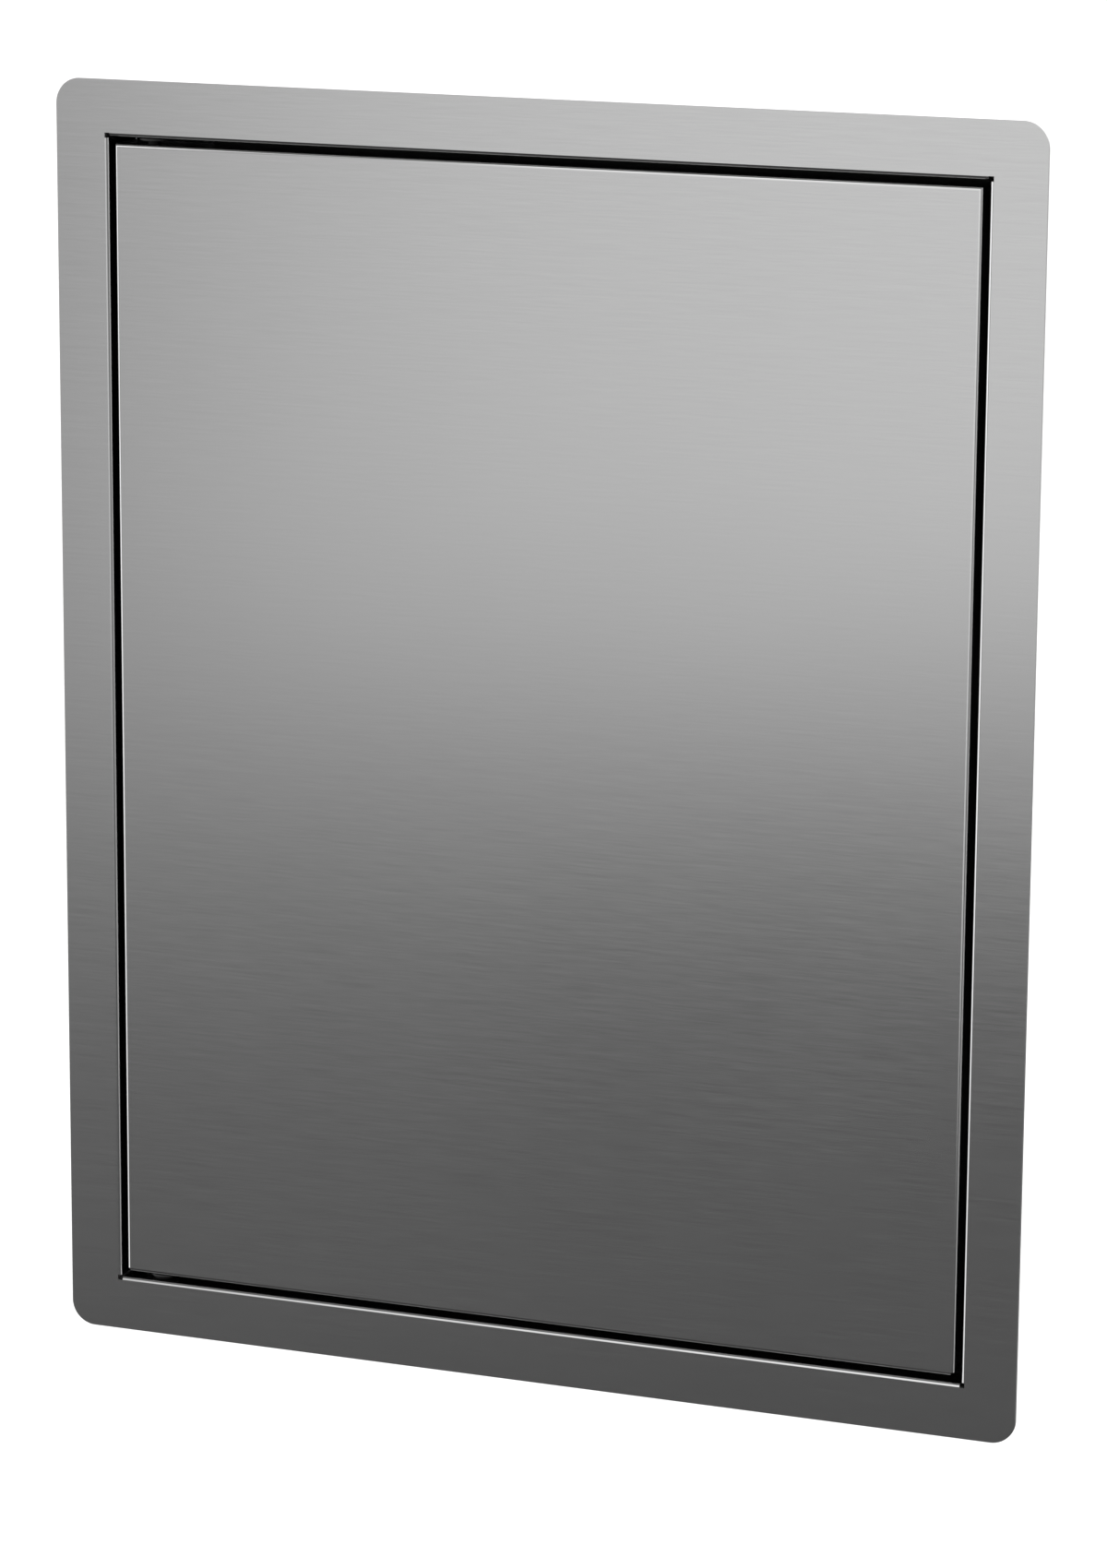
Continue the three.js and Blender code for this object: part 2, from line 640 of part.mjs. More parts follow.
// A screw into the liner, with its head on a plate of some thickness.
function linerScrew(x, z, plateThickness, size) {
  const profile = screwProfile(ON_LINER + plateThickness + FIT_GAP, ON_LINER - 5, size);
  return turned(profile, 'y', [x, 0, z], SCREW_STEPS);
}

function buildDoorLiner(door) {
  const front = LINER_REAR - LINER_DEPTH;
  const inX = LINER_X - LINER_SHEET;
  const inZ = LINER_Z - LINER_SHEET;
  const tray = block([-LINER_X, LINER_X], [front, LINER_REAR], [-LINER_Z, LINER_Z]);
  const hollow = block([-inX, inX], [front - 1, LINER_REAR - LINER_SHEET], [-inZ, inZ]);
  const holes = [];
  for (const x of [-MIRROR_CLIP_X, MIRROR_CLIP_X]) {
    holes.push(linerScrewHole(x, CLIP_SCREW_Z), linerScrewHole(x, -CLIP_SCREW_Z));
  }
  for (const offset of [-STRIKE_SCREW_OFFSET, STRIKE_SCREW_OFFSET]) {
    holes.push(linerScrewHole(LATCH_X, LATCH_Z + offset));
  }
  const slot = tabSlot(LINER_REAR - 2, LINER_REAR + 1);
  addPiece(door, 'door_liner', cut(tray, hollow, slot, ...holes), 'satin');
}

function buildMirror(door) {
  const halfX = MIRROR_WIDTH / 2;
  const halfZ = MIRROR_HEIGHT / 2;
  const glassRear = ON_LINER + MIRROR_THICKNESS;
  const outline = roundedRectangle(halfX, halfZ, MIRROR_CORNER_RADIUS, 4);
  addPiece(door, 'mirror_glass', prism(outline, 'y', ON_LINER, glassRear), 'mirror');

  const step = halfZ + FIT_GAP;
  const overGlass = glassRear + FIT_GAP;
  const path = [
    [ON_LINER, step + MIRROR_CLIP_FOOT],
    [ON_LINER, step],
    [overGlass, step],
    [overGlass, step - MIRROR_CLIP_TONGUE],
  ];
  const section = sheetOutline(path, -MIRROR_CLIP_SHEET);
  for (const [level, sideZ] of [['top', 1], ['bottom', -1]]) {
    for (const [side, x] of [['left', -MIRROR_CLIP_X], ['right', MIRROR_CLIP_X]]) {
      const folded = section.map(([y, z]) => [y, sideZ * z]);
      const screwZ = sideZ * CLIP_SCREW_Z;
      const strip = prism(folded, 'x', x - MIRROR_CLIP_HALF_WIDTH, x + MIRROR_CLIP_HALF_WIDTH);
      const clip = cut(strip, plateScrewHole(x, screwZ));
      addPiece(door, `mirror_clip_${level}_${side}`, clip, 'plated');
      const screw = linerScrew(x, screwZ, MIRROR_CLIP_SHEET, LINER_SCREW);
      addPiece(door, `mirror_clip_screw_${level}_${side}`, screw, 'plated');
    }
  }
}

function buildStrike(door) {
  const plate = block(
    [LATCH_X - STRIKE_HALF_WIDTH, LATCH_X + STRIKE_HALF_WIDTH],
    [ON_LINER, ON_LINER + STRIKE_SHEET],
    [LATCH_Z - STRIKE_HALF_HEIGHT, LATCH_Z + STRIKE_HALF_HEIGHT],
  );
  const heights = { upper: LATCH_Z + STRIKE_SCREW_OFFSET, lower: LATCH_Z - STRIKE_SCREW_OFFSET };
  const holes = Object.values(heights).map((z) => plateScrewHole(LATCH_X, z));
  addPiece(door, 'strike_plate', cut(plate, ...holes), 'plated');
  for (const [level, z] of Object.entries(heights)) {
    const screw = linerScrew(LATCH_X, z, STRIKE_SHEET, STRIKE_SCREW);
    addPiece(door, `strike_screw_${level}`, screw, 'plated');
  }
}

// ---------------------------------------------------------------- pivots

function buildUpperPivot(door, retractingPin) {
  const centre = [PIVOT_X, PIVOT_Y, 0];
  const blockTop = LINER_Z - LINER_SHEET - FIT_GAP;
  const bodyRear = LINER_REAR - LINER_SHEET - FIT_GAP;
  const body = block(
    [PIVOT_X - PIVOT_BLOCK_HALF_WIDTH, PIVOT_X + PIVOT_BLOCK_HALF_WIDTH],
    [DOOR_INSIDE + FIT_GAP, bodyRear],
    [CAVITY_FLOOR - UPPER_BLOCK_FLOOR, blockTop],
  );
  const bore = rod(PIN_HOLE_RADIUS, 'z', centre, CAVITY_TOP - 1, blockTop + 1);
  const cavity = rod(CAVITY_RADIUS, 'z', centre, CAVITY_FLOOR, CAVITY_TOP);
  const hollowed = cut(body, bore, cavity, tabSlot(PIVOT_Y, bodyRear + 1));
  addPiece(door, 'upper_pivot_block', hollowed, 'blackPlastic');

  const collarTop = CAVITY_TOP - FIT_GAP;
  const collarBottom = collarTop - COLLAR_HEIGHT;
  const springLength = collarBottom - FIT_GAP - (CAVITY_FLOOR + FIT_GAP);
  const coil = spring(PIVOT_SPRING, springLength);
  coil.translate(PIVOT_X, PIVOT_Y, CAVITY_FLOOR + FIT_GAP);
  addPiece(door, 'upper_pivot_spring', coil, 'plated');

  const bushTop = OPENING_Z + FRAME_SHEET; // flush with the sheet it is pressed into
  const pinTop = bushTop + 1;
  const tailEnd = collarBottom - PIN_TAIL_LENGTH;
  const pin = turned([
    [0, tailEnd],
    [PIN_TAIL_RADIUS, tailEnd],
    [PIN_TAIL_RADIUS, collarBottom],
    [COLLAR_RADIUS, collarBottom],
    [COLLAR_RADIUS, collarTop],
    [PIN_RADIUS, collarTop],
    [PIN_RADIUS, pinTop - PIN_CHAMFER],
    [PIN_RADIUS - PIN_CHAMFER, pinTop],
    [0, pinTop],
  ], 'z', centre);
  const tabEnd = LINER_REAR + TAB_REACH;
  const tab = rod(TAB_RADIUS, 'y', [PIVOT_X, 0, TAB_Z], PIVOT_Y, tabEnd, SCREW_STEPS);
  addPiece(retractingPin, 'upper_pivot_pin', joined(pin, tab), 'blackSteel');

  const flangeTop = OPENING_Z - FIT_GAP;
  const flangeBottom = flangeTop - UPPER_FLANGE_THICKNESS;
  const bush = turned([
    [BUSH_BORE_RADIUS, flangeBottom],
    [BUSH_FLANGE_RADIUS, flangeBottom],
    [BUSH_FLANGE_RADIUS, flangeTop],
    [BUSH_RADIUS, flangeTop],
    [BUSH_RADIUS, bushTop],
    [BUSH_BORE_RADIUS, bushTop],
    [BUSH_BORE_RADIUS, flangeBottom],
  ], 'z', centre);
  addPiece(cabinet, 'upper_pivot_bush', bush, 'blackPlastic');
}

function buildLowerPivot(door) {
  const centre = [PIVOT_X, PIVOT_Y, 0];
  const bodyBottom = -(LINER_Z - LINER_SHEET - FIT_GAP);
  const body = block(
    [PIVOT_X - PIVOT_BLOCK_HALF_WIDTH, PIVOT_X + PIVOT_BLOCK_HALF_WIDTH],
    [DOOR_INSIDE + FIT_GAP, LINER_REAR - LINER_SHEET - FIT_GAP],
    [bodyBottom, bodyBottom + LOWER_BLOCK_HEIGHT],
  );
  const socketTop = bodyBottom + LOWER_SOCKET_DEPTH;
  const socket = rod(BUSH_RADIUS + FIT_GAP, 'z', centre, bodyBottom - 1, socketTop);
  addPiece(door, 'lower_pivot_block', cut(body, socket), 'blackPlastic');

  const flangeTop = -DOOR_Z - FIT_GAP;
  const flangeBottom = flangeTop - LOWER_FLANGE_THICKNESS;
  const bushTop = bodyBottom + LOWER_BUSH_DEPTH;
  const bush = turned([
    [BUSH_BORE_RADIUS, flangeBottom],
    [BUSH_FLANGE_RADIUS, flangeBottom],
    [BUSH_FLANGE_RADIUS, flangeTop],
    [BUSH_RADIUS, flangeTop],
    [BUSH_RADIUS, bushTop],
    [BUSH_BORE_RADIUS, bushTop],
    [BUSH_BORE_RADIUS, flangeBottom],
  ], 'z', centre);
  addPiece(door, 'lower_pivot_bush', bush, 'blackPlastic');

  const headTop = -OPENING_Z - FRAME_SHEET - FIT_GAP;
  const headBottom = headTop - RIVET_HEAD_HEIGHT;
  const shoulderBottom = -OPENING_Z + FIT_GAP;
  const shoulderTop = flangeBottom - FIT_GAP;
  const pinTop = bushTop - 1;
  const pin = turned([
    [0, headBottom],
    [RIVET_HEAD_RADIUS, headBottom],
    [RIVET_HEAD_RADIUS, headTop],
    [PIN_RADIUS, headTop],
    [PIN_RADIUS, shoulderBottom],
    [PIN_SHOULDER_RADIUS, shoulderBottom],
    [PIN_SHOULDER_RADIUS, shoulderTop],
    [PIN_RADIUS, shoulderTop],
    [PIN_RADIUS, pinTop - PIN_CHAMFER],
    [PIN_RADIUS - PIN_CHAMFER, pinTop],
    [0, pinTop],
  ], 'z', centre);
  addPiece(cabinet, 'lower_pivot_pin', pin, 'blackSteel');
}

// ---------------------------------------------------------------- push latch

function buildLatchBracket() {
  const wallFace = WALL_X - FIT_GAP;
  const seatTop = LATCH_Z - LATCH_HALF_HEIGHT - FIT_GAP;
  const path = [
    [wallFace - BRACKET_SHEET, LATCH_Z + BRACKET_RISE],
    [wallFace - BRACKET_SHEET, seatTop],
    [LATCH_X - LATCH_HALF_WIDTH, seatTop],
  ];
  const outline = sheetOutline(filleted(path, [1]), -BRACKET_SHEET);
  const [frontScrew, rearScrew] = LATCH_SCREW_DEPTHS;
  const wallHoles = LATCH_SCREW_DEPTHS.map((depth) => (
    rod(SCREW_HOLE_RADIUS, 'x', [0, depth, LATCH_SCREW_Z], wallFace - 3, wallFace + 1, SCREW_STEPS)
  ));
  const seatHoles = LATCH_SCREW_DEPTHS.map((depth) => (
    rod(SEAT_HOLE_RADIUS, 'z', [LATCH_X, depth, 0], seatTop - 3, seatTop + 1, SCREW_STEPS)
  ));
  const bracket = cut(prism(outline, 'y', frontScrew - 8, rearScrew + 8), ...wallHoles, ...seatHoles);
  addPiece(cabinet, 'latch_bracket', bracket, 'plated');

  const headSeat = wallFace - BRACKET_SHEET - FIT_GAP;
  const seatUnder = seatTop - BRACKET_SHEET - FIT_GAP;
  [['front', frontScrew], ['rear', rearScrew]].forEach(([place, depth]) => {
    const wallScrew = screwProfile(headSeat, WALL_X + 4, WALL_SCREW);
    const screw = turned(wallScrew, 'x', [0, depth, LATCH_SCREW_Z], SCREW_STEPS);
    addPiece(cabinet, `latch_wall_screw_${place}`, screw, 'plated');
    const seatScrew = screwProfile(seatUnder, seatTop + 2.6, SEAT_SCREW);
    const lower = turned(seatScrew, 'z', [LATCH_X, depth, 0], SCREW_STEPS);
    addPiece(cabinet, `latch_seat_screw_${place}`, lower, 'plated');
  });
}

function buildLatch(plunger) {
  const centre = [LATCH_X, 0, LATCH_Z];
  const body = block(
    [LATCH_X - LATCH_HALF_WIDTH, LATCH_X + LATCH_HALF_WIDTH],
    [LATCH_FRONT, LATCH_REAR],
    [LATCH_Z - LATCH_HALF_HEIGHT, LATCH_Z + LATCH_HALF_HEIGHT],
  );
  const bore = rod(LATCH_BORE, 'y', centre, LATCH_FRONT - 1, LATCH_BORE_END);
  const vent = rod(LATCH_VENT_RADIUS, 'y', centre, LATCH_BORE_END - 1, LATCH_REAR + 1, SCREW_STEPS);
  const pilots = LATCH_SCREW_DEPTHS.map((depth) => {
    const bottom = LATCH_Z - LATCH_HALF_HEIGHT;
    const centreLine = [LATCH_X, depth, 0];
    const end = bottom + LATCH_PILOT_DEPTH;
    return rod(LATCH_PILOT_RADIUS, 'z', centreLine, bottom - 1, end, SCREW_STEPS);
  });
  addPiece(cabinet, 'latch_housing', cut(body, bore, vent, ...pilots), 'blackPlastic');

  const coilFront = PLUNGER_REAR + FIT_GAP;
  const coil = spring(LATCH_SPRING, LATCH_BORE_END - FIT_GAP - coilFront);
  coil.rotateX(-Math.PI / 2).translate(LATCH_X, coilFront, LATCH_Z);
  addPiece(cabinet, 'latch_spring', coil, 'plated');

  const magnetFront = ON_LINER + STRIKE_SHEET + FIT_GAP;
  const magnetRear = magnetFront + MAGNET_LENGTH;
  const magnet = turned([
    [0, magnetFront],
    [PLUNGER_RADIUS - MAGNET_CHAMFER, magnetFront],
    [PLUNGER_RADIUS, magnetFront + MAGNET_CHAMFER],
    [PLUNGER_RADIUS, magnetRear],
    [0, magnetRear],
  ], 'y', centre);
  addPiece(plunger, 'latch_magnet', magnet, 'magnet');
  const stem = rod(PLUNGER_RADIUS, 'y', centre, magnetRear + FIT_GAP, PLUNGER_REAR);
  addPiece(plunger, 'latch_plunger', stem, 'whitePlastic');
}

// ---------------------------------------------------------------- assembly

const door = new THREE.Group();
const retractingPin = new THREE.Group();
const plunger = new THREE.Group();
cabinet.add(door, plunger);
door.add(retractingPin);

buildFrontFrame();
buildHousing();
buildSeals();
buildShelves();
buildDoorSkin(door);
buildDoorLiner(door);
buildMirror(door);
buildStrike(door);
buildUpperPivot(door, retractingPin);
buildLowerPivot(door);
buildLatchBracket();
buildLatch(plunger);

export default cabinet;
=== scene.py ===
import json
import math

import bmesh
import bpy
from mathutils import Matrix, Vector


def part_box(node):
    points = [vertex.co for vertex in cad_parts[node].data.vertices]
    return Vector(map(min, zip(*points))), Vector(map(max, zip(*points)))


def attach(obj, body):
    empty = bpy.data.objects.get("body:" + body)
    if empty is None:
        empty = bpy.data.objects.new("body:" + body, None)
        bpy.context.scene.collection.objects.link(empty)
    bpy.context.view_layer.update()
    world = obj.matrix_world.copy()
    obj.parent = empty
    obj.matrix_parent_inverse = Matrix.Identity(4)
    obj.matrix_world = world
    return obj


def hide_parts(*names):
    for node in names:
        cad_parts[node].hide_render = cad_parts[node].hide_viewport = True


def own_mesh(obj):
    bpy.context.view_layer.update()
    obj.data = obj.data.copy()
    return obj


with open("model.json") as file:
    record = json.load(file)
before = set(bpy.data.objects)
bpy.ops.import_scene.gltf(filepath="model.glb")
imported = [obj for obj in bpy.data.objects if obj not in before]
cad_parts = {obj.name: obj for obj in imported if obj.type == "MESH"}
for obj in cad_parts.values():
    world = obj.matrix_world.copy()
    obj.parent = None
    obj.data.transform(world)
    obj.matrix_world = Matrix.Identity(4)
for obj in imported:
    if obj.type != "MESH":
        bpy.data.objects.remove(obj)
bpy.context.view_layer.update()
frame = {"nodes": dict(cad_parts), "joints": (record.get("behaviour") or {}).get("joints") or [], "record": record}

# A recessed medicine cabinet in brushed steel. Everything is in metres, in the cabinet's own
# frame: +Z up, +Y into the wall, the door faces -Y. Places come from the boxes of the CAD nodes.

MM = 0.001
X, Y, Z = 0, 1, 2
FIT_GAP = 0.3 * MM

# how far a cutter runs on past the sheet it cuts, and what counts as the same place
CUT_MARGIN = 1.0 * MM
MERGE_DISTANCE = 1e-7
SAME_PLACE = 1e-6

RECORD = frame["record"]
SLOT_OF = {part["node"]: part["material_slot"] for part in RECORD["subparts"]}
BODY_OF = {node: body for body, nodes in RECORD["behaviour"]["bodies"].items() for node in nodes}

# sheet thicknesses and bends
FRAME_SHEET = 1.2 * MM
DOOR_SHEET = 1.2 * MM
HOUSING_SHEET = 0.8 * MM
FACE_BEND = 1.5 * MM
BEND_STEPS = 14
LIP_BEND = 0.4 * MM
CORNER_RELIEF = 2.0 * MM
FLANGE_CORNER = 10.0 * MM
LIP_WIDTH = 8.0 * MM
SEAT_DEPTH = 0.3 * MM
SEAT_MARGIN = 0.5 * MM

# places of the main pieces
FRAME_LOW, FRAME_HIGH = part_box("front_frame")
DOOR_LOW, DOOR_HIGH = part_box("door_skin")
JOINTS = {joint["name"]: joint for joint in frame["joints"]}
PIVOT = Vector(JOINTS["door_swing"]["pos_m"])
FACE_Y = FRAME_LOW.y
DOOR_GAP = 2.6 * MM
OPENING_X = DOOR_HIGH.x + DOOR_GAP
OPENING_Z = DOOR_HIGH.z + DOOR_GAP


def centre_of(node):
    low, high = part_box(node)
    return (low + high) / 2


def on_side(side, first, second):
    """Two distances from the middle, as a low and a high place on the side of that sign."""
    return sorted((side * first, side * second))


# ---- node materials

class Nodes:
    """A short way to build a node tree: make a node, set its values, link its inputs."""

    def __init__(self, tree):
        self.tree = tree
        tree.nodes.clear()

    def add(self, kind, inputs=None, **settings):
        node = self.tree.nodes.new(kind)
        for name, value in settings.items():
            setattr(node, name, value)
        for name, value in (inputs or {}).items():
            if isinstance(value, bpy.types.NodeSocket):
                self.tree.links.new(value, node.inputs[name])
            else:
                node.inputs[name].default_value = value
        return node

    def math(self, operation, first, second=0.0):
        return self.add("ShaderNodeMath", {0: first, 1: second}, operation=operation).outputs[0]

    def remap(self, value, low, high, to_low, to_high, ease="LINEAR"):
        inputs = {
            "Value": value, "From Min": low, "From Max": high, "To Min": to_low, "To Max": to_high,
        }
        return self.add("ShaderNodeMapRange", inputs, interpolation_type=ease).outputs[0]

    def spread(self, noise, to_low, to_high):
        """The usual range of a noise, spread over a range of values."""
        return self.remap(noise, 0.3, 0.7, to_low, to_high)

    def noise(self, vector, scale, detail=2.0, roughness=0.5):
        inputs = {"Vector": vector, "Scale": scale, "Detail": detail, "Roughness": roughness}
        return self.add("ShaderNodeTexNoise", inputs).outputs["Fac"]

    def tint(self, amount, dark, light):
        """A mix of two colours. A single number stands for a grey."""
        dark, light = ((c,) * 3 if isinstance(c, float) else c for c in (dark, light))
        inputs = {0: amount, 6: (*dark, 1.0), 7: (*light, 1.0)}
        return self.add("ShaderNodeMix", inputs, data_type="RGBA").outputs[2]

    def grained_tint(self, noise, dark, light):
        """A mix of two colours that follows a noise with more contrast."""
        return self.tint(self.remap(noise, 0.35, 0.65, 0.0, 1.0), dark, light)

    def bump(self, height, strength, distance):
        inputs = {"Height": height, "Strength": strength, "Distance": distance}
        return self.add("ShaderNodeBump", inputs).outputs["Normal"]

    def place(self):
        return self.add("ShaderNodeTexCoord").outputs["Object"]


def new_material(name, build):
    """A material whose look the build function makes on a plain shader."""
    material = bpy.data.materials.new(name)
    material.use_nodes = True
    nodes = Nodes(material.node_tree)
    shader = nodes.add("ShaderNodeBsdfPrincipled")
    output = nodes.add("ShaderNodeOutputMaterial", {"Surface": shader.outputs[0]})
    output.location = (400, 0)
    build(nodes, shader)
    return material


def connect(nodes, shader, **inputs):
    names = {"color": "Base Color", "roughness": "Roughness", "normal": "Normal", "tangent": "Tangent"}
    for key, socket in inputs.items():
        nodes.tree.links.new(socket, shader.inputs[names[key]])


def connect_metal(nodes, shader, **inputs):
    connect(nodes, shader, **inputs)
    shader.inputs["Metallic"].default_value = 1.0


def grain_vector(nodes, along, across):
    """Coordinates that stretch a noise along the brushed grain, which follows the sheet round
    its bends: along X on the face, and along Y on the sides."""
    coordinates = nodes.add("ShaderNodeTexCoord")
    place = nodes.add("ShaderNodeSeparateXYZ", {0: coordinates.outputs["Object"]})
    normal = nodes.add("ShaderNodeSeparateXYZ", {0: coordinates.outputs["Normal"]})
    facing_side = nodes.math("GREATER_THAN", nodes.math("ABSOLUTE", normal.outputs[X]), 0.7)
    facing_other = nodes.math("SUBTRACT", 1.0, facing_side)
    depth = nodes.math("MULTIPLY", place.outputs[Y], facing_other)
    level = nodes.math("ADD", place.outputs[Z], depth)
    inputs = {
        0: nodes.math("MULTIPLY", place.outputs[X], along),
        1: nodes.math("MULTIPLY", place.outputs[Y], along),
        2: nodes.math("MULTIPLY", level, across),
    }
    return nodes.add("ShaderNodeCombineXYZ", inputs).outputs[0]


def brushed_steel(nodes, shader):
    fine = nodes.noise(grain_vector(nodes, 60.0, 2600.0), 1.0, 2.0, 0.6)
    coarse = nodes.noise(grain_vector(nodes, 18.0, 800.0), 1.0, 2.0, 0.5)
    clouds = nodes.noise(nodes.place(), 7.0, 3.0, 0.5)
    grain = nodes.math("ADD", nodes.math("MULTIPLY", fine, 0.65), nodes.math("MULTIPLY", coarse, 0.35))
    rough = nodes.math("ADD", nodes.spread(grain, 0.125, 0.155), nodes.spread(clouds, -0.006, 0.006))
    connect_metal(
        nodes, shader,
        color=nodes.grained_tint(grain, 0.600, 0.640),
        roughness=rough,
        normal=nodes.bump(grain, 0.05, 0.02 * MM),
        tangent=nodes.add("ShaderNodeCombineXYZ", {0: 0.0, 1: 0.01, 2: 1.0}).outputs[0],
    )
    shader.inputs["Anisotropic"].default_value = 0.3


def satin_steel(nodes, shader):
    place = nodes.place()
    rolled = nodes.noise(grain_vector(nodes, 30.0, 700.0), 1.0, 3.0, 0.6)
    clouds = nodes.noise(place, 14.0, 4.0, 0.55)
    specks = nodes.noise(place, 900.0, 2.0, 0.5)
    tone = nodes.math("ADD", nodes.math("MULTIPLY", rolled, 0.75), nodes.math("MULTIPLY", clouds, 0.25))
    connect_metal(
        nodes, shader,
        color=nodes.grained_tint(tone, 0.53, 0.58),
        roughness=nodes.spread(tone, 0.31, 0.37),
        normal=nodes.bump(nodes.math("ADD", rolled, specks), 0.08, 0.03 * MM),
    )


def plated_steel(nodes, shader):
    place = nodes.place()
    crystals = nodes.noise(place, 420.0, 3.0, 0.6)
    handling = nodes.noise(place, 90.0, 3.0, 0.5)
    connect_metal(
        nodes, shader,
        color=nodes.grained_tint(crystals, 0.56, 0.72),
        roughness=nodes.spread(handling, 0.20, 0.36),
        normal=nodes.bump(crystals, 0.06, 0.03 * MM),
    )


def spring_steel(nodes, shader):
    drawn = nodes.noise(nodes.place(), 1500.0, 2.0, 0.5)
    connect_metal(
        nodes, shader,
        color=nodes.tint(drawn, 0.26, 0.42),
        roughness=nodes.spread(drawn, 0.22, 0.36),
    )


def black_steel(nodes, shader):
    oxide = nodes.noise(nodes.place(), 700.0, 3.0, 0.6)
    connect_metal(
        nodes, shader,
        color=nodes.tint(oxide, 0.012, 0.026),
        roughness=nodes.spread(oxide, 0.46, 0.60),
    )


def nickel(nodes, shader):
    marks = nodes.noise(nodes.place(), 600.0, 3.0, 0.6)
    connect_metal(
        nodes, shader,
        color=nodes.tint(marks, (0.40, 0.39, 0.37), (0.58, 0.57, 0.54)),
        roughness=nodes.spread(marks, 0.16, 0.34),
    )


def moulded(dark, light, rough_low, rough_high):
    def build(nodes, shader):
        place = nodes.place()
        texture = nodes.noise(place, 2600.0, 2.0, 0.5)
        flow = nodes.noise(place, 120.0, 3.0, 0.5)
        connect(
            nodes, shader,
            color=nodes.tint(flow, dark, light),
            roughness=nodes.spread(flow, rough_low, rough_high),
            normal=nodes.bump(texture, 0.12, 0.02 * MM),
        )
    return build


def mirror_silver(nodes, shader):
    haze = nodes.noise(nodes.place(), 22.0, 3.0, 0.5)
    connect_metal(
        nodes, shader,
        color=nodes.tint(haze, (0.86, 0.885, 0.88), (0.885, 0.905, 0.90)),
        roughness=nodes.spread(haze, 0.012, 0.022),
    )


def glass_edge(nodes, shader):
    ground = nodes.noise(nodes.place(), 800.0, 2.0, 0.5)
    connect(
        nodes, shader,
        color=nodes.tint(ground, (0.16, 0.30, 0.25), (0.24, 0.40, 0.34)),
        roughness=nodes.spread(ground, 0.10, 0.22),
    )
    shader.inputs["Coat Weight"].default_value = 0.6


def pale_floor(nodes, shader):
    mottle = nodes.noise(nodes.place(), 3.0, 3.0, 0.5)
    connect(
        nodes, shader,
        color=nodes.tint(mottle, 0.93, 0.95),
        roughness=nodes.spread(mottle, 0.85, 0.95),
    )


BUILDERS = {
    "brushed_stainless": brushed_steel,
    "satin_stainless": satin_steel,
    "plated_steel": plated_steel,
    "black_steel": black_steel,
    "spring_steel": spring_steel,
    "magnet": nickel,
    "black_plastic": moulded(0.012, 0.024, 0.52, 0.65),
    "white_plastic": moulded((0.74, 0.73, 0.69), (0.82, 0.81, 0.77), 0.38, 0.5),
    "black_rubber": moulded(0.010, 0.020, 0.7, 0.9),
    "mirror": mirror_silver,
    "mirror_edge": glass_edge,
    "floor": pale_floor,
}
MATERIALS = {name: new_material(name, build) for name, build in BUILDERS.items()}


# ---- mesh helpers

def link_mesh(name, mesh, *materials):
    piece = bpy.data.objects.new(name, mesh)
    bpy.context.scene.collection.objects.link(piece)
    for material in materials:
        mesh.materials.append(MATERIALS[material])
    return piece


def to_mesh(name, bm):
    mesh = bpy.data.meshes.new(name)
    bm.to_mesh(mesh)
    bm.free()
    return mesh


def make_piece(name, bm, *materials):
    return link_mesh(name, to_mesh(name, bm), *materials)


def apply_modifiers(piece):
    graph = bpy.context.evaluated_depsgraph_get()
    mesh = bpy.data.meshes.new_from_object(piece.evaluated_get(graph))
    piece.modifiers.clear()
    piece.data = mesh


def smooth(piece, angle=32.0):
    """Smooth shading that keeps flat faces flat and folds of more than the angle sharp."""
    piece.data.shade_smooth()
    piece.data.set_sharp_from_angle(angle=math.radians(angle))
    modifier = piece.modifiers.new("weighted_normals", "WEIGHTED_NORMAL")
    modifier.keep_sharp = True
    apply_modifiers(piece)


def at_depth(depth):
    """A test for the edges that lie at one depth."""
    return lambda edge: all(abs(vert.co.y - depth) < SAME_PLACE for vert in edge.verts)


def bevel_sharp(bm, width, segments=2, angle=50.0, chosen=lambda edge: True):
    limit = math.radians(angle)
    edges = [e for e in bm.edges if len(e.link_faces) == 2 and e.calc_face_angle(0.0) > limit and chosen(e)]
    bmesh.ops.bevel(bm, geom=edges, offset=width, segments=segments, profile=0.5,
                    affect="EDGES", clamp_overlap=True)


def stand_for(piece, node):
    """The piece takes the place of a CAD node: its body, its material slot and its finish."""
    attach(piece, BODY_OF[node])
    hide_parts(node)
    if not piece.data.materials:
        piece.data.materials.append(MATERIALS[SLOT_OF[node]])


def arc(centre, radius, start, end, steps):
    """Points on an arc in a plane, from one angle to another, in degrees."""
    angles = (math.radians(start + (end - start) * i / steps) for i in range(steps + 1))
    return [(centre[0] + radius * math.cos(a), centre[1] + radius * math.sin(a)) for a in angles]


def combine(piece, operation, *others):
    for other in others:
        modifier = piece.modifiers.new("combine", "BOOLEAN")
        modifier.operation = operation
        modifier.solver = "EXACT"
        modifier.object = other
    apply_modifiers(piece)
    for other in others:
        bpy.data.objects.remove(other)


AXIS_TURN = {
    X: Matrix(((0, 0, 1), (1, 0, 0), (0, 1, 0))),
    Y: Matrix(((0, 1, 0), (0, 0, 1), (1, 0, 0))),
    Z: Matrix.Identity(3),
}


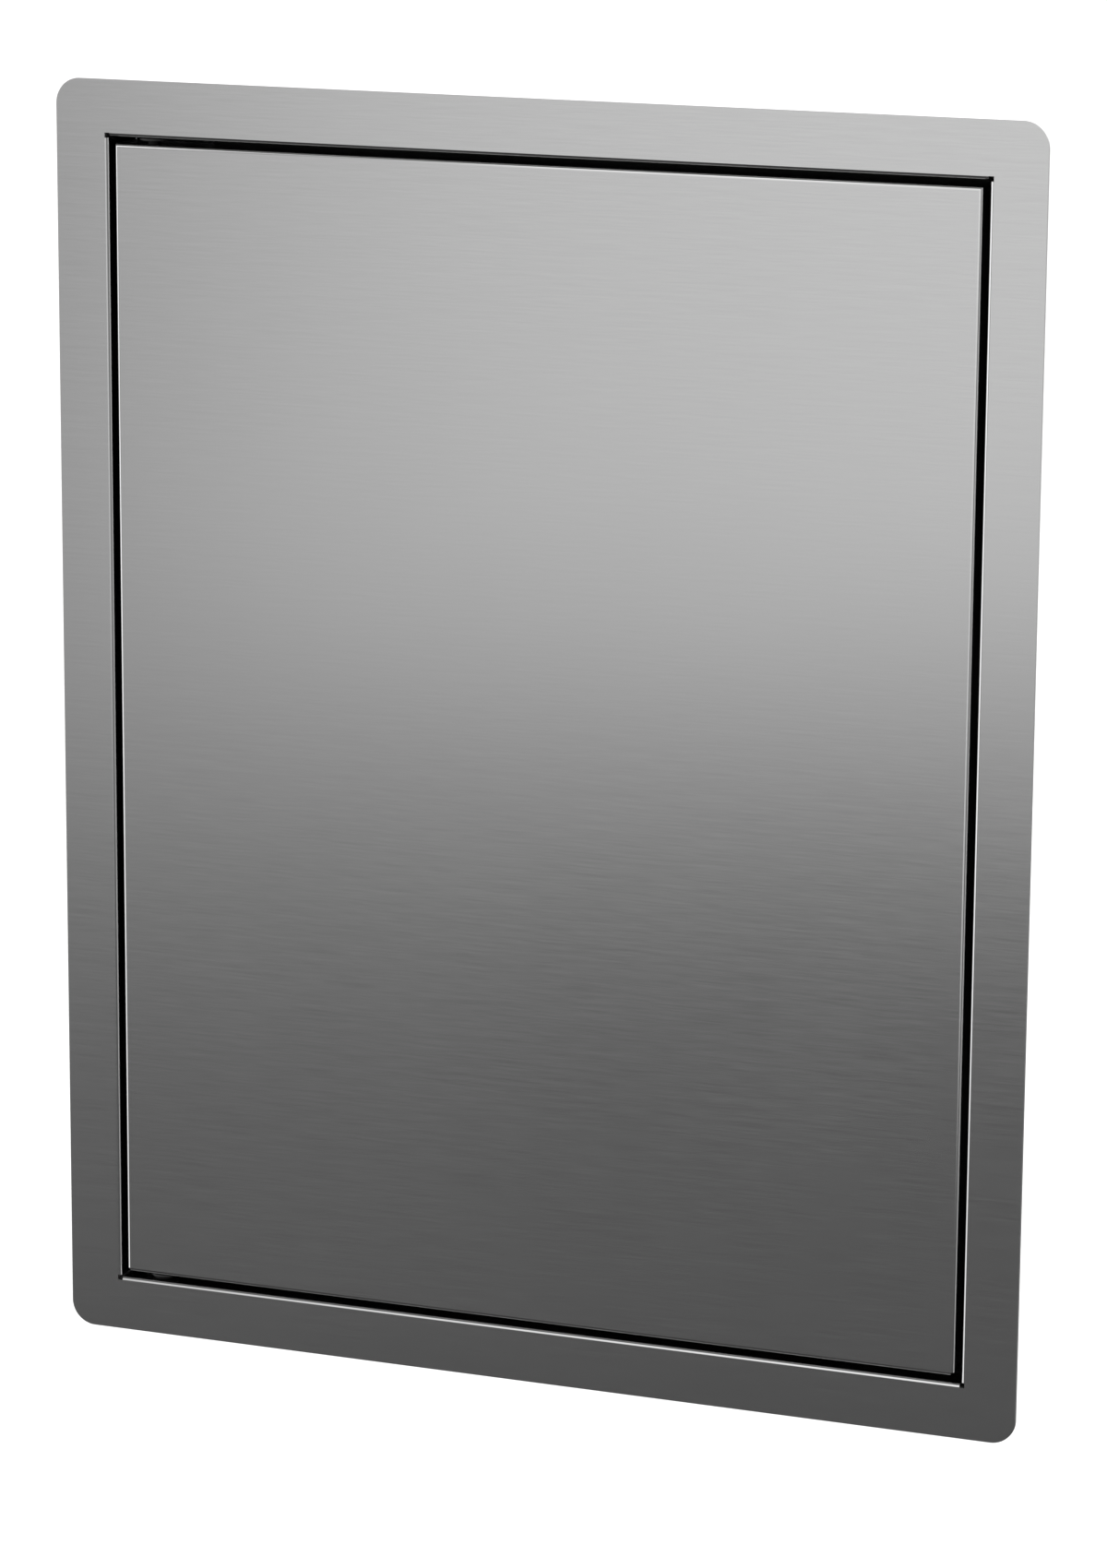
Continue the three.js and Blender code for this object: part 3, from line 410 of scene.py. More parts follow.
def turned_mesh(profile, axis, centre, steps=48):
    """A closed solid from [radius, place] points, turned about an axis through a centre.
    Places are absolute along the axis. A profile off the axis closes on itself, as a ring."""
    bm = bmesh.new()
    rings = []
    on_axis = Vector(centre)
    on_axis[axis] = 0.0
    for radius, place in profile:
        count = steps if radius > 0.0 else 1
        ring = []
        for i in range(count):
            angle = 2 * math.pi * i / steps
            local = Vector((radius * math.cos(angle), radius * math.sin(angle), place))
            ring.append(bm.verts.new(AXIS_TURN[axis] @ local + on_axis))
        rings.append(ring)
    pairs = list(zip(rings, rings[1:]))
    if profile[0][0] > 0.0:
        pairs.append((rings[-1], rings[0]))
    for low, high in pairs:
        for i in range(steps):
            j = (i + 1) % steps
            corners = [low[i % len(low)], low[j % len(low)], high[j % len(high)], high[i % len(high)]]
            bm.faces.new(list(dict.fromkeys(corners)))
    bmesh.ops.recalc_face_normals(bm, faces=bm.faces)
    return bm


def rod(radius, axis, centre, low, high, steps=32):
    return turned_mesh([(0.0, low), (radius, low), (radius, high), (0.0, high)], axis, centre, steps)


def box(low, high):
    bm = bmesh.new()
    bmesh.ops.create_cube(bm, size=1.0)
    for vert in bm.verts:
        vert.co = [low[i] + (vert.co[i] + 0.5) * (high[i] - low[i]) for i in range(3)]
    return bm


def joined(*parts):
    """Cutters that don't touch each other, as one object."""
    whole = bmesh.new()
    for part in parts:
        whole.from_mesh(to_mesh("cutter", part))
    return make_piece("cutter", whole)


# ---- face sheets

def place_side(side, across, depth, along):
    """A point of a side's section: across is outwards from the middle, along follows the side."""
    if side in ("left", "right"):
        return Vector((across if side == "right" else -across, depth, along))
    return Vector((along, depth, across if side == "top" else -across))


def add_strip(bm, side, section, ends):
    """A folded strip along one side. Ends gives the half length at each point of the section."""
    rows = []
    for (across, depth), end in zip(section, ends):
        rows.append([bm.verts.new(place_side(side, across, depth, along)) for along in end])
    for first, second in zip(rows, rows[1:]):
        bm.faces.new((first[0], first[1], second[1], second[0]))


def add_face(bm, points):
    bm.faces.new([bm.verts.new((x, FACE_Y, z)) for x, z in points])


def face_outwards(bm):
    """Makes all faces agree, with those of the flat face looking at the room."""
    bmesh.ops.remove_doubles(bm, verts=bm.verts, dist=MERGE_DISTANCE)
    bmesh.ops.recalc_face_normals(bm, faces=bm.faces)
    flat = max((f for f in bm.faces if abs(f.calc_center_median().y - FACE_Y) < SAME_PLACE),
               key=lambda f: f.calc_area())
    if flat.normal.y > 0:
        bmesh.ops.reverse_faces(bm, faces=bm.faces)


def thicken(piece, thickness):
    modifier = piece.modifiers.new("sheet", "SOLIDIFY")
    modifier.thickness = thickness
    modifier.offset = -1.0
    modifier.use_even_offset = True
    modifier.use_quality_normals = True
    apply_modifiers(piece)


def frame_section(opening):
    bend = arc((opening + FACE_BEND, FACE_Y + FACE_BEND), FACE_BEND, -90.0, -180.0, BEND_STEPS)
    lip_front = FRAME_HIGH.y - FRAME_SHEET
    fold = arc((opening - LIP_BEND, lip_front - LIP_BEND), LIP_BEND, 0.0, 90.0, 5)
    return bend + fold + [(opening - LIP_WIDTH, lip_front)]


def corner_outline(sign_x, sign_z, flat, end):
    """One corner of the flange, with its round outside and the square relief inside."""
    centre = (FRAME_HIGH.x - FLANGE_CORNER, FRAME_HIGH.z - FLANGE_CORNER)
    points = [(FRAME_HIGH.x, end[1])] + arc(centre, FLANGE_CORNER, 0.0, 90.0, 20)
    points += [(end[0], FRAME_HIGH.z), (end[0], flat[1]), flat, (flat[0], end[1])]
    return [(sign_x * x, sign_z * z) for x, z in points]


OUTLINE_TOLERANCE = 0.01 * MM
FLANGE_EDGE = 0.18 * MM
BUSH_HOLE_RADIUS = 4.0 * MM
PIN_HOLE_RADIUS = 3.0 * MM


def on_flange_outline(point):
    outside = [max(abs(point[i]) - (FRAME_HIGH[i] - FLANGE_CORNER), 0.0) for i in (X, Z)]
    if min(outside) > 0.0:
        return abs(math.hypot(*outside) - FLANGE_CORNER) < OUTLINE_TOLERANCE
    return max(outside) > FLANGE_CORNER - OUTLINE_TOLERANCE


def housing_seat_cutters(flat):
    """The shallow groove round the opening that the housing's front edges are welded into."""
    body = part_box("housing_back")[1]
    outer_x, outer_z = body.x + SEAT_MARGIN, body.z + SEAT_MARGIN
    depths = (-SEAT_DEPTH, CUT_MARGIN)
    strips = []
    for sign in (-1, 1):
        strips.append((on_side(sign, flat[0], outer_x), depths, (-outer_z, outer_z)))
        strips.append(((-outer_x, outer_x), depths, on_side(sign, flat[1], outer_z)))
    return [make_piece("seat", box(*zip(*strip))) for strip in strips]


def pivot_hole(radius, low, high):
    return make_piece("pivot_hole", rod(radius, Z, PIVOT, low, high, 48))


def build_front_frame():
    flat = (OPENING_X + FACE_BEND, OPENING_Z + FACE_BEND)
    end = (flat[0] - CORNER_RELIEF, flat[1] - CORNER_RELIEF)
    bm = bmesh.new()
    for sign_x in (-1, 1):
        add_face(bm, [(sign_x * FRAME_HIGH.x, -end[1]), (sign_x * FRAME_HIGH.x, end[1]),
                      (sign_x * flat[0], end[1]), (sign_x * flat[0], -end[1])])
        for sign_z in (-1, 1):
            add_face(bm, corner_outline(sign_x, sign_z, flat, end))
    for sign_z in (-1, 1):
        add_face(bm, [(-end[0], sign_z * FRAME_HIGH.z), (end[0], sign_z * FRAME_HIGH.z),
                      (end[0], sign_z * flat[1]), (-end[0], sign_z * flat[1])])
    for side in ("left", "right"):
        section = frame_section(OPENING_X)
        add_strip(bm, side, section, [(-end[1], end[1])] * len(section))
    for side in ("top", "bottom"):
        section = frame_section(OPENING_Z)
        add_strip(bm, side, section, [(-end[0], end[0])] * len(section))
    face_outwards(bm)
    piece = make_piece("front_frame_sheet", bm, "brushed_stainless")
    thicken(piece, FRAME_SHEET)
    combine(
        piece, "DIFFERENCE",
        *housing_seat_cutters(flat),
        pivot_hole(BUSH_HOLE_RADIUS, OPENING_Z - CUT_MARGIN, OPENING_Z + 3 * CUT_MARGIN),
        pivot_hole(PIN_RADIUS + FIT_GAP, -OPENING_Z - 3 * CUT_MARGIN, -OPENING_Z + CUT_MARGIN),
    )
    bm = bmesh.new()
    bm.from_mesh(piece.data)
    bmesh.ops.holes_fill(bm, edges=bm.edges, sides=4)
    bevel_sharp(bm, FLANGE_EDGE, 3, chosen=lambda e: all(on_flange_outline(v.co) for v in e.verts))
    bm.to_mesh(piece.data)
    bm.free()
    smooth(piece)
    stand_for(piece, "front_frame")


def build_door_skin():
    flat = (DOOR_HIGH.x - FACE_BEND, DOOR_HIGH.z - FACE_BEND)
    bm = bmesh.new()
    add_face(bm, [(-flat[0], -flat[1]), (flat[0], -flat[1]), (flat[0], flat[1]), (-flat[0], flat[1])])
    for side in ("left", "right", "top", "bottom"):
        half, other = flat if side in ("left", "right") else flat[::-1]
        bend = arc((half, FACE_Y + FACE_BEND), FACE_BEND, -90.0, 0.0, BEND_STEPS)
        section = bend + [(half + FACE_BEND, DOOR_HIGH.y)]
        closed = [other + across - half for across, _ in section]
        if side == "bottom":
            ends = [(-other, other)] * len(section)
        elif side == "top":
            ends = [(-reach, reach) for reach in closed]
        else:
            ends = [(-other, reach) for reach in closed]
        add_strip(bm, side, section, ends)
    face_outwards(bm)
    piece = make_piece("door_skin_pan", bm, "brushed_stainless")
    thicken(piece, DOOR_SHEET)
    combine(
        piece, "DIFFERENCE",
        pivot_hole(PIN_HOLE_RADIUS, DOOR_HIGH.z - 2 * CUT_MARGIN, DOOR_HIGH.z + CUT_MARGIN),
        pivot_hole(BUSH_HOLE_RADIUS, DOOR_LOW.z - CUT_MARGIN, DOOR_LOW.z + 2 * CUT_MARGIN),
    )
    smooth(piece)
    stand_for(piece, "door_skin")


# ---- folded and cut sheet

def filleted(path, radii, steps=6):
    """Replaces each inner corner of a path by an arc of its own radius."""
    points = [Vector((*point, 0.0)) for point in path]
    result = [points[0]]
    for before, corner, after, radius in zip(points, points[1:], points[2:], radii):
        back = (before - corner).normalized()
        ahead = (after - corner).normalized()
        half = back.angle(ahead) / 2
        centre = corner + (back + ahead).normalized() * radius / math.sin(half)
        start = corner + back * radius / math.tan(half) - centre
        end = corner + ahead * radius / math.tan(half) - centre
        result += [centre + start.slerp(end, i / steps) * radius for i in range(steps + 1)]
    result.append(points[-1])
    return [(point.x, point.y) for point in result]


def on_section(axis, point, along):
    """A point of a section, given as (across, depth), at a place along X or Z."""
    across, depth = point
    return (along, depth, across) if axis == X else (across, depth, along)


def folded_sheet(name, path, axis, low, high, thickness, outward):
    """A sheet folded along a path of (across, depth). Its thickness lies behind the path, on
    the side that the largest face's outward direction points away from."""
    bm = bmesh.new()
    rows = [[bm.verts.new(on_section(axis, point, end)) for end in (low, high)] for point in path]
    for first, second in zip(rows, rows[1:]):
        bm.faces.new((first[0], first[1], second[1], second[0]))
    bm.normal_update()
    if max(bm.faces, key=lambda f: f.calc_area()).normal.dot(Vector(outward)) < 0:
        bmesh.ops.reverse_faces(bm, faces=bm.faces)
    piece = make_piece(name, bm)
    thicken(piece, thickness)
    return piece


def extruded(outline, axis, low, high):
    """A closed outline of (across, depth) along X or Z, or of (x, z) along Y."""
    bm = bmesh.new()
    ends = []
    for along in (low, high):
        points = [(u, along, v) if axis == Y else on_section(axis, (u, v), along) for u, v in outline]
        ends.append([bm.verts.new(point) for point in points])
    for i in range(len(outline)):
        j = (i + 1) % len(outline)
        bm.faces.new((ends[0][i], ends[0][j], ends[1][j], ends[1][i]))
    bm.faces.new(ends[0])
    bm.faces.new(ends[1])
    bmesh.ops.recalc_face_normals(bm, faces=bm.faces)
    return bm


def rounded_rectangle(half_x, half_z, radius, steps=8):
    points = []
    for quarter, (sign_x, sign_z) in enumerate(((1, 1), (-1, 1), (-1, -1), (1, -1))):
        centre = (sign_x * (half_x - radius), sign_z * (half_z - radius))
        points += arc(centre, radius, 90.0 * quarter, 90.0 * (quarter + 1), steps)
    return points


# ---- housing and seals

WALL_LOW, WALL_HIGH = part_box("housing_right_wall")
WALL_INSIDE = Vector((WALL_HIGH.x - HOUSING_SHEET, 0.0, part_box("housing_top_wall")[1].z - HOUSING_SHEET))
REAR_FOLD = 1.2 * MM
REAR_ZONE = (WALL_HIGH.y - 3 * CUT_MARGIN, WALL_HIGH.y + 2 * CUT_MARGIN)
THROUGH_WALL = (WALL_INSIDE.x - 3 * CUT_MARGIN, WALL_INSIDE.x + 3 * CUT_MARGIN)
SLOT_PITCH = 28.575 * MM
SLOT_ROWS = range(-7, 7)
SLOT_CLIPS = ("shelf_clip_middle_right_front", "shelf_clip_middle_right_rear")
SLOT_MARGIN = 0.5 * MM
SLOT_TOP = 4.2 * MM
STUD_HOLE_RADIUS = 2.5 * MM
STUD_HOLE_DEPTHS = (30 * MM, 62 * MM)
STUD_HOLE_HEIGHT = 143 * MM
SCREW_HOLE_RADIUS = 1.8 * MM
PIVOT_NOTCH_RADIUS = 3.8 * MM
CLIP_SHEET = 1.2 * MM


def clip_slot_cutters(side):
    """A column of slots at each clip's depth. Row 0 is the middle shelf's."""
    across = on_side(side, *THROUGH_WALL)
    cutters = []
    for clip in SLOT_CLIPS:
        low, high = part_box(clip)
        for row in SLOT_ROWS:
            bottom = high.z - CLIP_SHEET - FIT_GAP + row * SLOT_PITCH
            top = bottom + CLIP_SHEET / 2 + SLOT_TOP - FIT_GAP
            depths = (low.y - SLOT_MARGIN, high.y + SLOT_MARGIN)
            cutters.append(box(*zip(across, depths, (bottom, top))))
    return cutters


def wall_path(outside):
    """A wall's section: back from its front edge, and folded in behind the back panel's edge."""
    rear = WALL_HIGH.y
    lip = outside - (WALL_HIGH.x - WALL_LOW.x)
    return filleted([(outside, WALL_LOW.y), (outside, rear), (lip, rear)], [REAR_FOLD])


def build_side_walls():
    for name, side in (("housing_left_wall", -1), ("housing_right_wall", 1)):
        path = [(side * across, depth) for across, depth in wall_path(WALL_HIGH.x)]
        wall = folded_sheet(name + "_sheet", path, Z, WALL_LOW.z, WALL_HIGH.z, HOUSING_SHEET, (side, 0, 0))
        across = on_side(side, WALL_LOW.x - CUT_MARGIN, WALL_INSIDE.x)
        through = on_side(side, *THROUGH_WALL)
        cutters = clip_slot_cutters(side)
        for sign in (-1, 1):
            heights = on_side(sign, WALL_INSIDE.z - FIT_GAP, WALL_HIGH.z + CUT_MARGIN)
            cutters.append(box(*zip(across, REAR_ZONE, heights)))
            for depth in STUD_HOLE_DEPTHS:
                centre = (0, depth, sign * STUD_HOLE_HEIGHT)
                cutters.append(rod(STUD_HOLE_RADIUS, X, centre, *through))
        if side > 0:
            for screw in ("latch_wall_screw_front", "latch_wall_screw_rear"):
                cutters.append(rod(SCREW_HOLE_RADIUS, X, centre_of(screw), *through))
        combine(wall, "DIFFERENCE", joined(*cutters))
        smooth(wall)
        stand_for(wall, name)


def build_level_walls():
    low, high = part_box("housing_top_wall")
    for name, side in (("housing_bottom_wall", -1), ("housing_top_wall", 1)):
        path = [(side * across, depth) for across, depth in wall_path(high.z)]
        wall = folded_sheet(name + "_sheet", path, X, low.x, high.x, HOUSING_SHEET, (0, 0, side))
        heights = on_side(side, low.z - CUT_MARGIN, WALL_INSIDE.z - FIT_GAP)
        level = side * WALL_INSIDE.z
        cutters = [rod(PIVOT_NOTCH_RADIUS, Z, PIVOT, level - 2 * CUT_MARGIN, level + 2 * CUT_MARGIN)]
        for sign in (-1, 1):
            across = on_side(sign, WALL_LOW.x - FIT_GAP, high.x + CUT_MARGIN)
            cutters.append(box(*zip(across, REAR_ZONE, heights)))
        combine(wall, "DIFFERENCE", joined(*cutters))
        smooth(wall)
        stand_for(wall, name)


PANEL_CORNER = 1.2 * MM
WELD_PITCH_ACROSS = 69.6 * MM
WELD_PITCH_UP = 58 * MM
WELD_INSET = 7 * MM
WELD_RADIUS = 2.4 * MM
WELD_FLOOR_RADIUS = 0.8 * WELD_RADIUS
WELD_DEPTH = 0.12 * MM


def build_back():
    """A flat panel with the shallow round marks of the spot welds that hold it to the lips."""
    low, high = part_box("housing_back")
    outline = rounded_rectangle(high.x, high.z, PANEL_CORNER, 4)
    panel = make_piece("housing_back_panel", extruded(outline, Y, low.y, high.y))
    places = []
    for sign in (-1, 1):
        for index in range(-2, 3):
            places.append((index * WELD_PITCH_ACROSS, sign * (high.z - WELD_INSET)))
        for index in range(-3, 4):
            places.append((sign * (high.x - WELD_INSET), index * WELD_PITCH_UP))
    mark_floor, above = high.y - WELD_DEPTH, high.y + CUT_MARGIN
    mark = [(0.0, mark_floor), (WELD_FLOOR_RADIUS, mark_floor), (WELD_RADIUS, above), (0.0, above)]
    marks = [turned_mesh(mark, Y, (x, 0, z), 24) for x, z in places]
    combine(panel, "DIFFERENCE", joined(*marks))
    smooth(panel, 20.0)
    stand_for(panel, "housing_back")


SEAL_START = 20 * MM
SEAL_FOOT_DEPTH = 3.2 * MM
SEAL_FOOT_HEIGHT = 1.8 * MM


def seal_foot(low, high, end):
    """The narrow foot of a level seal, which runs on past the pivot into the corner."""
    outer, inwards = (high.z, -1) if high.z > 0 else (low.z, 1)
    heights = sorted((outer, outer + inwards * SEAL_FOOT_HEIGHT))
    return make_piece("foot", box((low.x, high.y - SEAL_FOOT_DEPTH, heights[0]), (end, high.y, heights[1])))


def build_seals():
    """Half-round seals. Each stands on the stop lip and points at the door's rear edge."""
    for name, axis in (("door_seal_top", X), ("door_seal_bottom", X), ("door_seal_side", Z)):
        low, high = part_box(name)
        across = Z if axis == X else X
        start = PIVOT.x + SEAL_START if axis == X else low.z
        middle = centre_of(name)[across]
        radius = (high[across] - low[across]) / 2
        crown = arc((middle, low.y + radius), radius, 0.0, -180.0, 24)
        outline = [(middle - radius, high.y), (middle + radius, high.y)] + crown
        piece = make_piece(name + "_profile", extruded(outline, axis, start, high[axis]))
        if axis == X:
            combine(piece, "UNION", seal_foot(low, high, start + SEAL_FOOT_DEPTH))
        smooth(piece, 50.0)
        stand_for(piece, name)


# ---- shelves and clips

SHELF_HEM = 6 * MM
SHELF_LIP = 12 * MM
SHELF_BENDS = (0.3 * MM, 0.6 * MM, 1.2 * MM)


def build_shelves():
    """A shelf's sheet is hemmed under, then up the front lip, back, and up at the rear."""
    for level in ("lower", "middle", "upper"):
        name = f"shelf_{level}"
        low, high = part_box(name)
        bottom, top = low.z + HOUSING_SHEET, low.z + SHELF_LIP
        front = low.y + HOUSING_SHEET
        corners = [
            (bottom, low.y + SHELF_HEM), (bottom, front), (top, front), (top, high.y), (high.z, high.y),
        ]
        path = filleted(corners, SHELF_BENDS)
        shelf = folded_sheet(name + "_sheet", path, X, low.x, high.x, HOUSING_SHEET, (0, 0, -1))
        smooth(shelf)
        stand_for(shelf, name)


FLAT_ENOUGH = math.radians(1.0)


def soften(node, width):
    """A CAD piece again, with its sharp edges rounded over."""
    mesh = frame["nodes"][node].data.copy()
    mesh.materials.clear()
    bm = bmesh.new()
    bm.from_mesh(mesh)
    bmesh.ops.remove_doubles(bm, verts=bm.verts, dist=MERGE_DISTANCE)
    bmesh.ops.dissolve_limit(bm, angle_limit=FLAT_ENOUGH, verts=bm.verts, edges=bm.edges)
    bevel_sharp(bm, width, 2, 40.0)
    bm.to_mesh(mesh)
    bm.free()
    piece = link_mesh(node + "_finished", mesh)
    smooth(piece, 40.0)
    stand_for(piece, node)


# ---- door lining and mirror

LINER_BEND = 1.2 * MM
TAB_SLOT_RADIUS = 1.8 * MM
MIRROR_CORNER = 3.0 * MM
MIRROR_ARRIS = 0.7 * MM
STRIKE_CORNER = 2.0 * MM
STRIKE_EDGE = 0.2 * MM


def slot_cutter(centre_x, low_z, high_z, radius, low_y, high_y):
    """A slot with round ends, upright in a panel that faces along Y."""
    middle, half = (low_z + high_z) / 2, (high_z - low_z) / 2
    outline = [(centre_x + x, middle + z) for x, z in rounded_rectangle(radius, half, radius * 0.98, 8)]
    return extruded(outline, Y, low_y, high_y)


def build_door_liner():
    low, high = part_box("door_liner")
    bm = bmesh.new()
    rear = [bm.verts.new((x, high.y, z)) for x, z in (
        (low.x, low.z), (high.x, low.z), (high.x, high.z), (low.x, high.z))]
    front = [bm.verts.new((v.co.x, low.y, v.co.z)) for v in rear]
    bm.faces.new(rear)
    for i in range(4):
        j = (i + 1) % 4
        bm.faces.new((rear[i], rear[j], front[j], front[i]))
    bmesh.ops.recalc_face_normals(bm, faces=bm.faces)
    if max(bm.faces, key=lambda f: f.calc_area()).normal.y < 0:
        bmesh.ops.reverse_faces(bm, faces=bm.faces)
    bevel_sharp(bm, LINER_BEND, 5, chosen=at_depth(high.y))
    liner = make_piece("door_liner_tray", bm)
    thicken(liner, HOUSING_SHEET)
    screws = [node for node in SLOT_OF if node.startswith(("mirror_clip_screw", "strike_screw"))]
    span = (high.y - 2 * CUT_MARGIN, high.y + CUT_MARGIN)
    holes = [rod(SCREW_HOLE_RADIUS, Y, centre_of(node), *span) for node in screws]
    tab_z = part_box("upper_pivot_pin")[0].z + TAB_ABOVE_PIN_FOOT
    holes.append(slot_cutter(
        PIVOT.x, tab_z - TAB_TRAVEL - TAB_SLOT_RADIUS, tab_z + TAB_SLOT_RADIUS, TAB_SLOT_RADIUS, *span))
    combine(liner, "DIFFERENCE", joined(*holes))
    smooth(liner)
    stand_for(liner, "door_liner")


def build_mirror():
    """Silvered glass. Its ground edge is a second material on the same piece."""
    low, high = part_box("mirror_glass")
    bm = extruded(rounded_rectangle(high.x, high.z, MIRROR_CORNER, 10), Y, low.y, high.y)
    bevel_sharp(bm, MIRROR_ARRIS, 3, chosen=at_depth(high.y))
    for face in bm.faces:
        face.material_index = 0 if abs(face.normal.y) > 0.999 else 1
    glass = make_piece("mirror_glass_pane", bm, "mirror", "mirror_edge")
    smooth(glass, 25.0)
    stand_for(glass, "mirror_glass")


def build_strike():
    low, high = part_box("strike_plate")
    middle = centre_of("strike_plate")
    half = (high - low) / 2
    outline = [(middle.x + x, middle.z + z) for x, z in rounded_rectangle(half.x, half.z, STRIKE_CORNER)]
    bm = extruded(outline, Y, low.y, high.y)
    bevel_sharp(bm, STRIKE_EDGE)
    plate = make_piece("strike_plate_sheet", bm)
    span = (low.y - CUT_MARGIN, high.y + CUT_MARGIN)
    holes = [
        rod(SCREW_HOLE_RADIUS, Y, centre_of(node), *span)
        for node in ("strike_screw_upper", "strike_screw_lower")
    ]
    combine(plate, "DIFFERENCE", joined(*holes))
    smooth(plate)
    stand_for(plate, "strike_plate")


# ---- pivots

PIN_RADIUS = 2.5 * MM
PIN_TAIL_RADIUS = 1.8 * MM
PIN_TAIL = 3.5 * MM
PIN_SHOULDER_RADIUS = 4.6 * MM
RIVET_HEAD_RADIUS = 3.2 * MM
RIVET_HEAD_HEIGHT = 1.5 * MM
PIN_TIP = 0.8 * MM
COLLAR_RADIUS = 3.6 * MM
COLLAR_HEIGHT = 2.0 * MM
TAB_RADIUS = 1.25 * MM
TAB_TRAVEL = 6.0 * MM
TAB_ABOVE_PIN_FOOT = 4.5 * MM
BUSH_BORE_RADIUS = 2.95 * MM
BUSH_RADIUS = 3.7 * MM
BUSH_FLANGE_RADIUS = 5.6 * MM
UPPER_BUSH_FLANGE = 0.8 * MM
LOWER_BUSH_FLANGE = 1.0 * MM
EDGE = 0.25 * MM


def lathe(node, profile, axis, centre):
    piece = make_piece(node + "_turned", turned_mesh(profile, axis, centre))
    smooth(piece, 30.0)
    stand_for(piece, node)


def build_pins():
    low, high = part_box("upper_pivot_pin")
    collar = low.z + PIN_TAIL
    profile = [
        (0.0, low.z), (PIN_TAIL_RADIUS - EDGE, low.z), (PIN_TAIL_RADIUS, low.z + EDGE),
        (PIN_TAIL_RADIUS, collar), (COLLAR_RADIUS - EDGE, collar), (COLLAR_RADIUS, collar + EDGE),
        (COLLAR_RADIUS, collar + COLLAR_HEIGHT - EDGE), (COLLAR_RADIUS - EDGE, collar + COLLAR_HEIGHT),
        (PIN_RADIUS, collar + COLLAR_HEIGHT), (PIN_RADIUS, high.z - PIN_TIP),
        (PIN_RADIUS - PIN_TIP / 3, high.z - PIN_TIP / 3), (PIN_RADIUS - PIN_TIP, high.z), (0.0, high.z),
    ]
    pin = make_piece("upper_pivot_pin_turned", turned_mesh(profile, Z, PIVOT))
    tab_centre = (PIVOT.x, 0.0, low.z + TAB_ABOVE_PIN_FOOT)
    tab_profile = [
        (0.0, PIVOT.y), (TAB_RADIUS, PIVOT.y), (TAB_RADIUS, high.y - EDGE * 2),
        (TAB_RADIUS - EDGE, high.y - EDGE / 2), (TAB_RADIUS - EDGE * 2, high.y), (0.0, high.y),
    ]
    combine(pin, "UNION", make_piece("tab", turned_mesh(tab_profile, Y, tab_centre, 32)))
    smooth(pin)
    stand_for(pin, "upper_pivot_pin")

    low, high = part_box("lower_pivot_pin")
    head = low.z + RIVET_HEAD_HEIGHT
    shoulder = -OPENING_Z + FIT_GAP
    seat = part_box("lower_pivot_bush")[0].z - FIT_GAP
    lathe("lower_pivot_pin", [
        (0.0, low.z), (RIVET_HEAD_RADIUS - EDGE, low.z), (RIVET_HEAD_RADIUS, low.z + EDGE),
        (RIVET_HEAD_RADIUS, head), (PIN_RADIUS, head), (PIN_RADIUS, shoulder),
        (PIN_SHOULDER_RADIUS, shoulder), (PIN_SHOULDER_RADIUS, seat - EDGE),
        (PIN_SHOULDER_RADIUS - EDGE, seat), (PIN_RADIUS, seat), (PIN_RADIUS, high.z - PIN_TIP),
        (PIN_RADIUS - PIN_TIP / 3, high.z - PIN_TIP / 3), (PIN_RADIUS - PIN_TIP, high.z), (0.0, high.z),
    ], Z, PIVOT)


def build_bushes():
    for node, flange in (("upper_pivot_bush", UPPER_BUSH_FLANGE), ("lower_pivot_bush", LOWER_BUSH_FLANGE)):
        low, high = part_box(node)
        flange_top = low.z + flange
        lathe(node, [
            (BUSH_BORE_RADIUS + EDGE, low.z), (BUSH_FLANGE_RADIUS - EDGE, low.z),
            (BUSH_FLANGE_RADIUS, low.z + EDGE), (BUSH_FLANGE_RADIUS, flange_top),
            (BUSH_RADIUS, flange_top), (BUSH_RADIUS, high.z - EDGE), (BUSH_RADIUS - EDGE, high.z),
            (BUSH_BORE_RADIUS, high.z), (BUSH_BORE_RADIUS, low.z + EDGE),
        ], Z, PIVOT)


SPRING_STEPS = 32
WIRE_SIDES = 12


def build_spring(node, axis, turns, wire_radius):
    """A coil of round wire that fills the node's box."""
    low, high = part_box(node)
    on_axis = centre_of(node)
    on_axis[axis] = 0.0
    side = Z if axis == Y else X
    mean_radius = (high[side] - low[side]) / 2 - wire_radius
    start, end = low[axis] + wire_radius, high[axis] - wire_radius
    steps = turns * SPRING_STEPS
    bm = bmesh.new()
    rings = []
    for i in range(steps + 1):
        share = i / steps
        angle = 2 * math.pi * turns * share
        spoke = Vector((math.cos(angle), math.sin(angle), 0.0))
        ring = []
        for k in range(WIRE_SIDES):
            around = 2 * math.pi * k / WIRE_SIDES
            local = spoke * (mean_radius + wire_radius * math.cos(around))
            local.z = wire_radius * math.sin(around) + start + (end - start) * share
            ring.append(bm.verts.new(AXIS_TURN[axis] @ local + on_axis))
        rings.append(ring)
    for first, second in zip(rings, rings[1:]):
        for k in range(WIRE_SIDES):
            n = (k + 1) % WIRE_SIDES
            bm.faces.new((first[k], first[n], second[n], second[k]))
    bm.faces.new(rings[0])
    bm.faces.new(rings[-1])
    bmesh.ops.recalc_face_normals(bm, faces=bm.faces)
    piece = make_piece(node + "_coil", bm)
    smooth(piece, 50.0)
    stand_for(piece, node)
    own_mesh(piece)


# ---- latch and screws

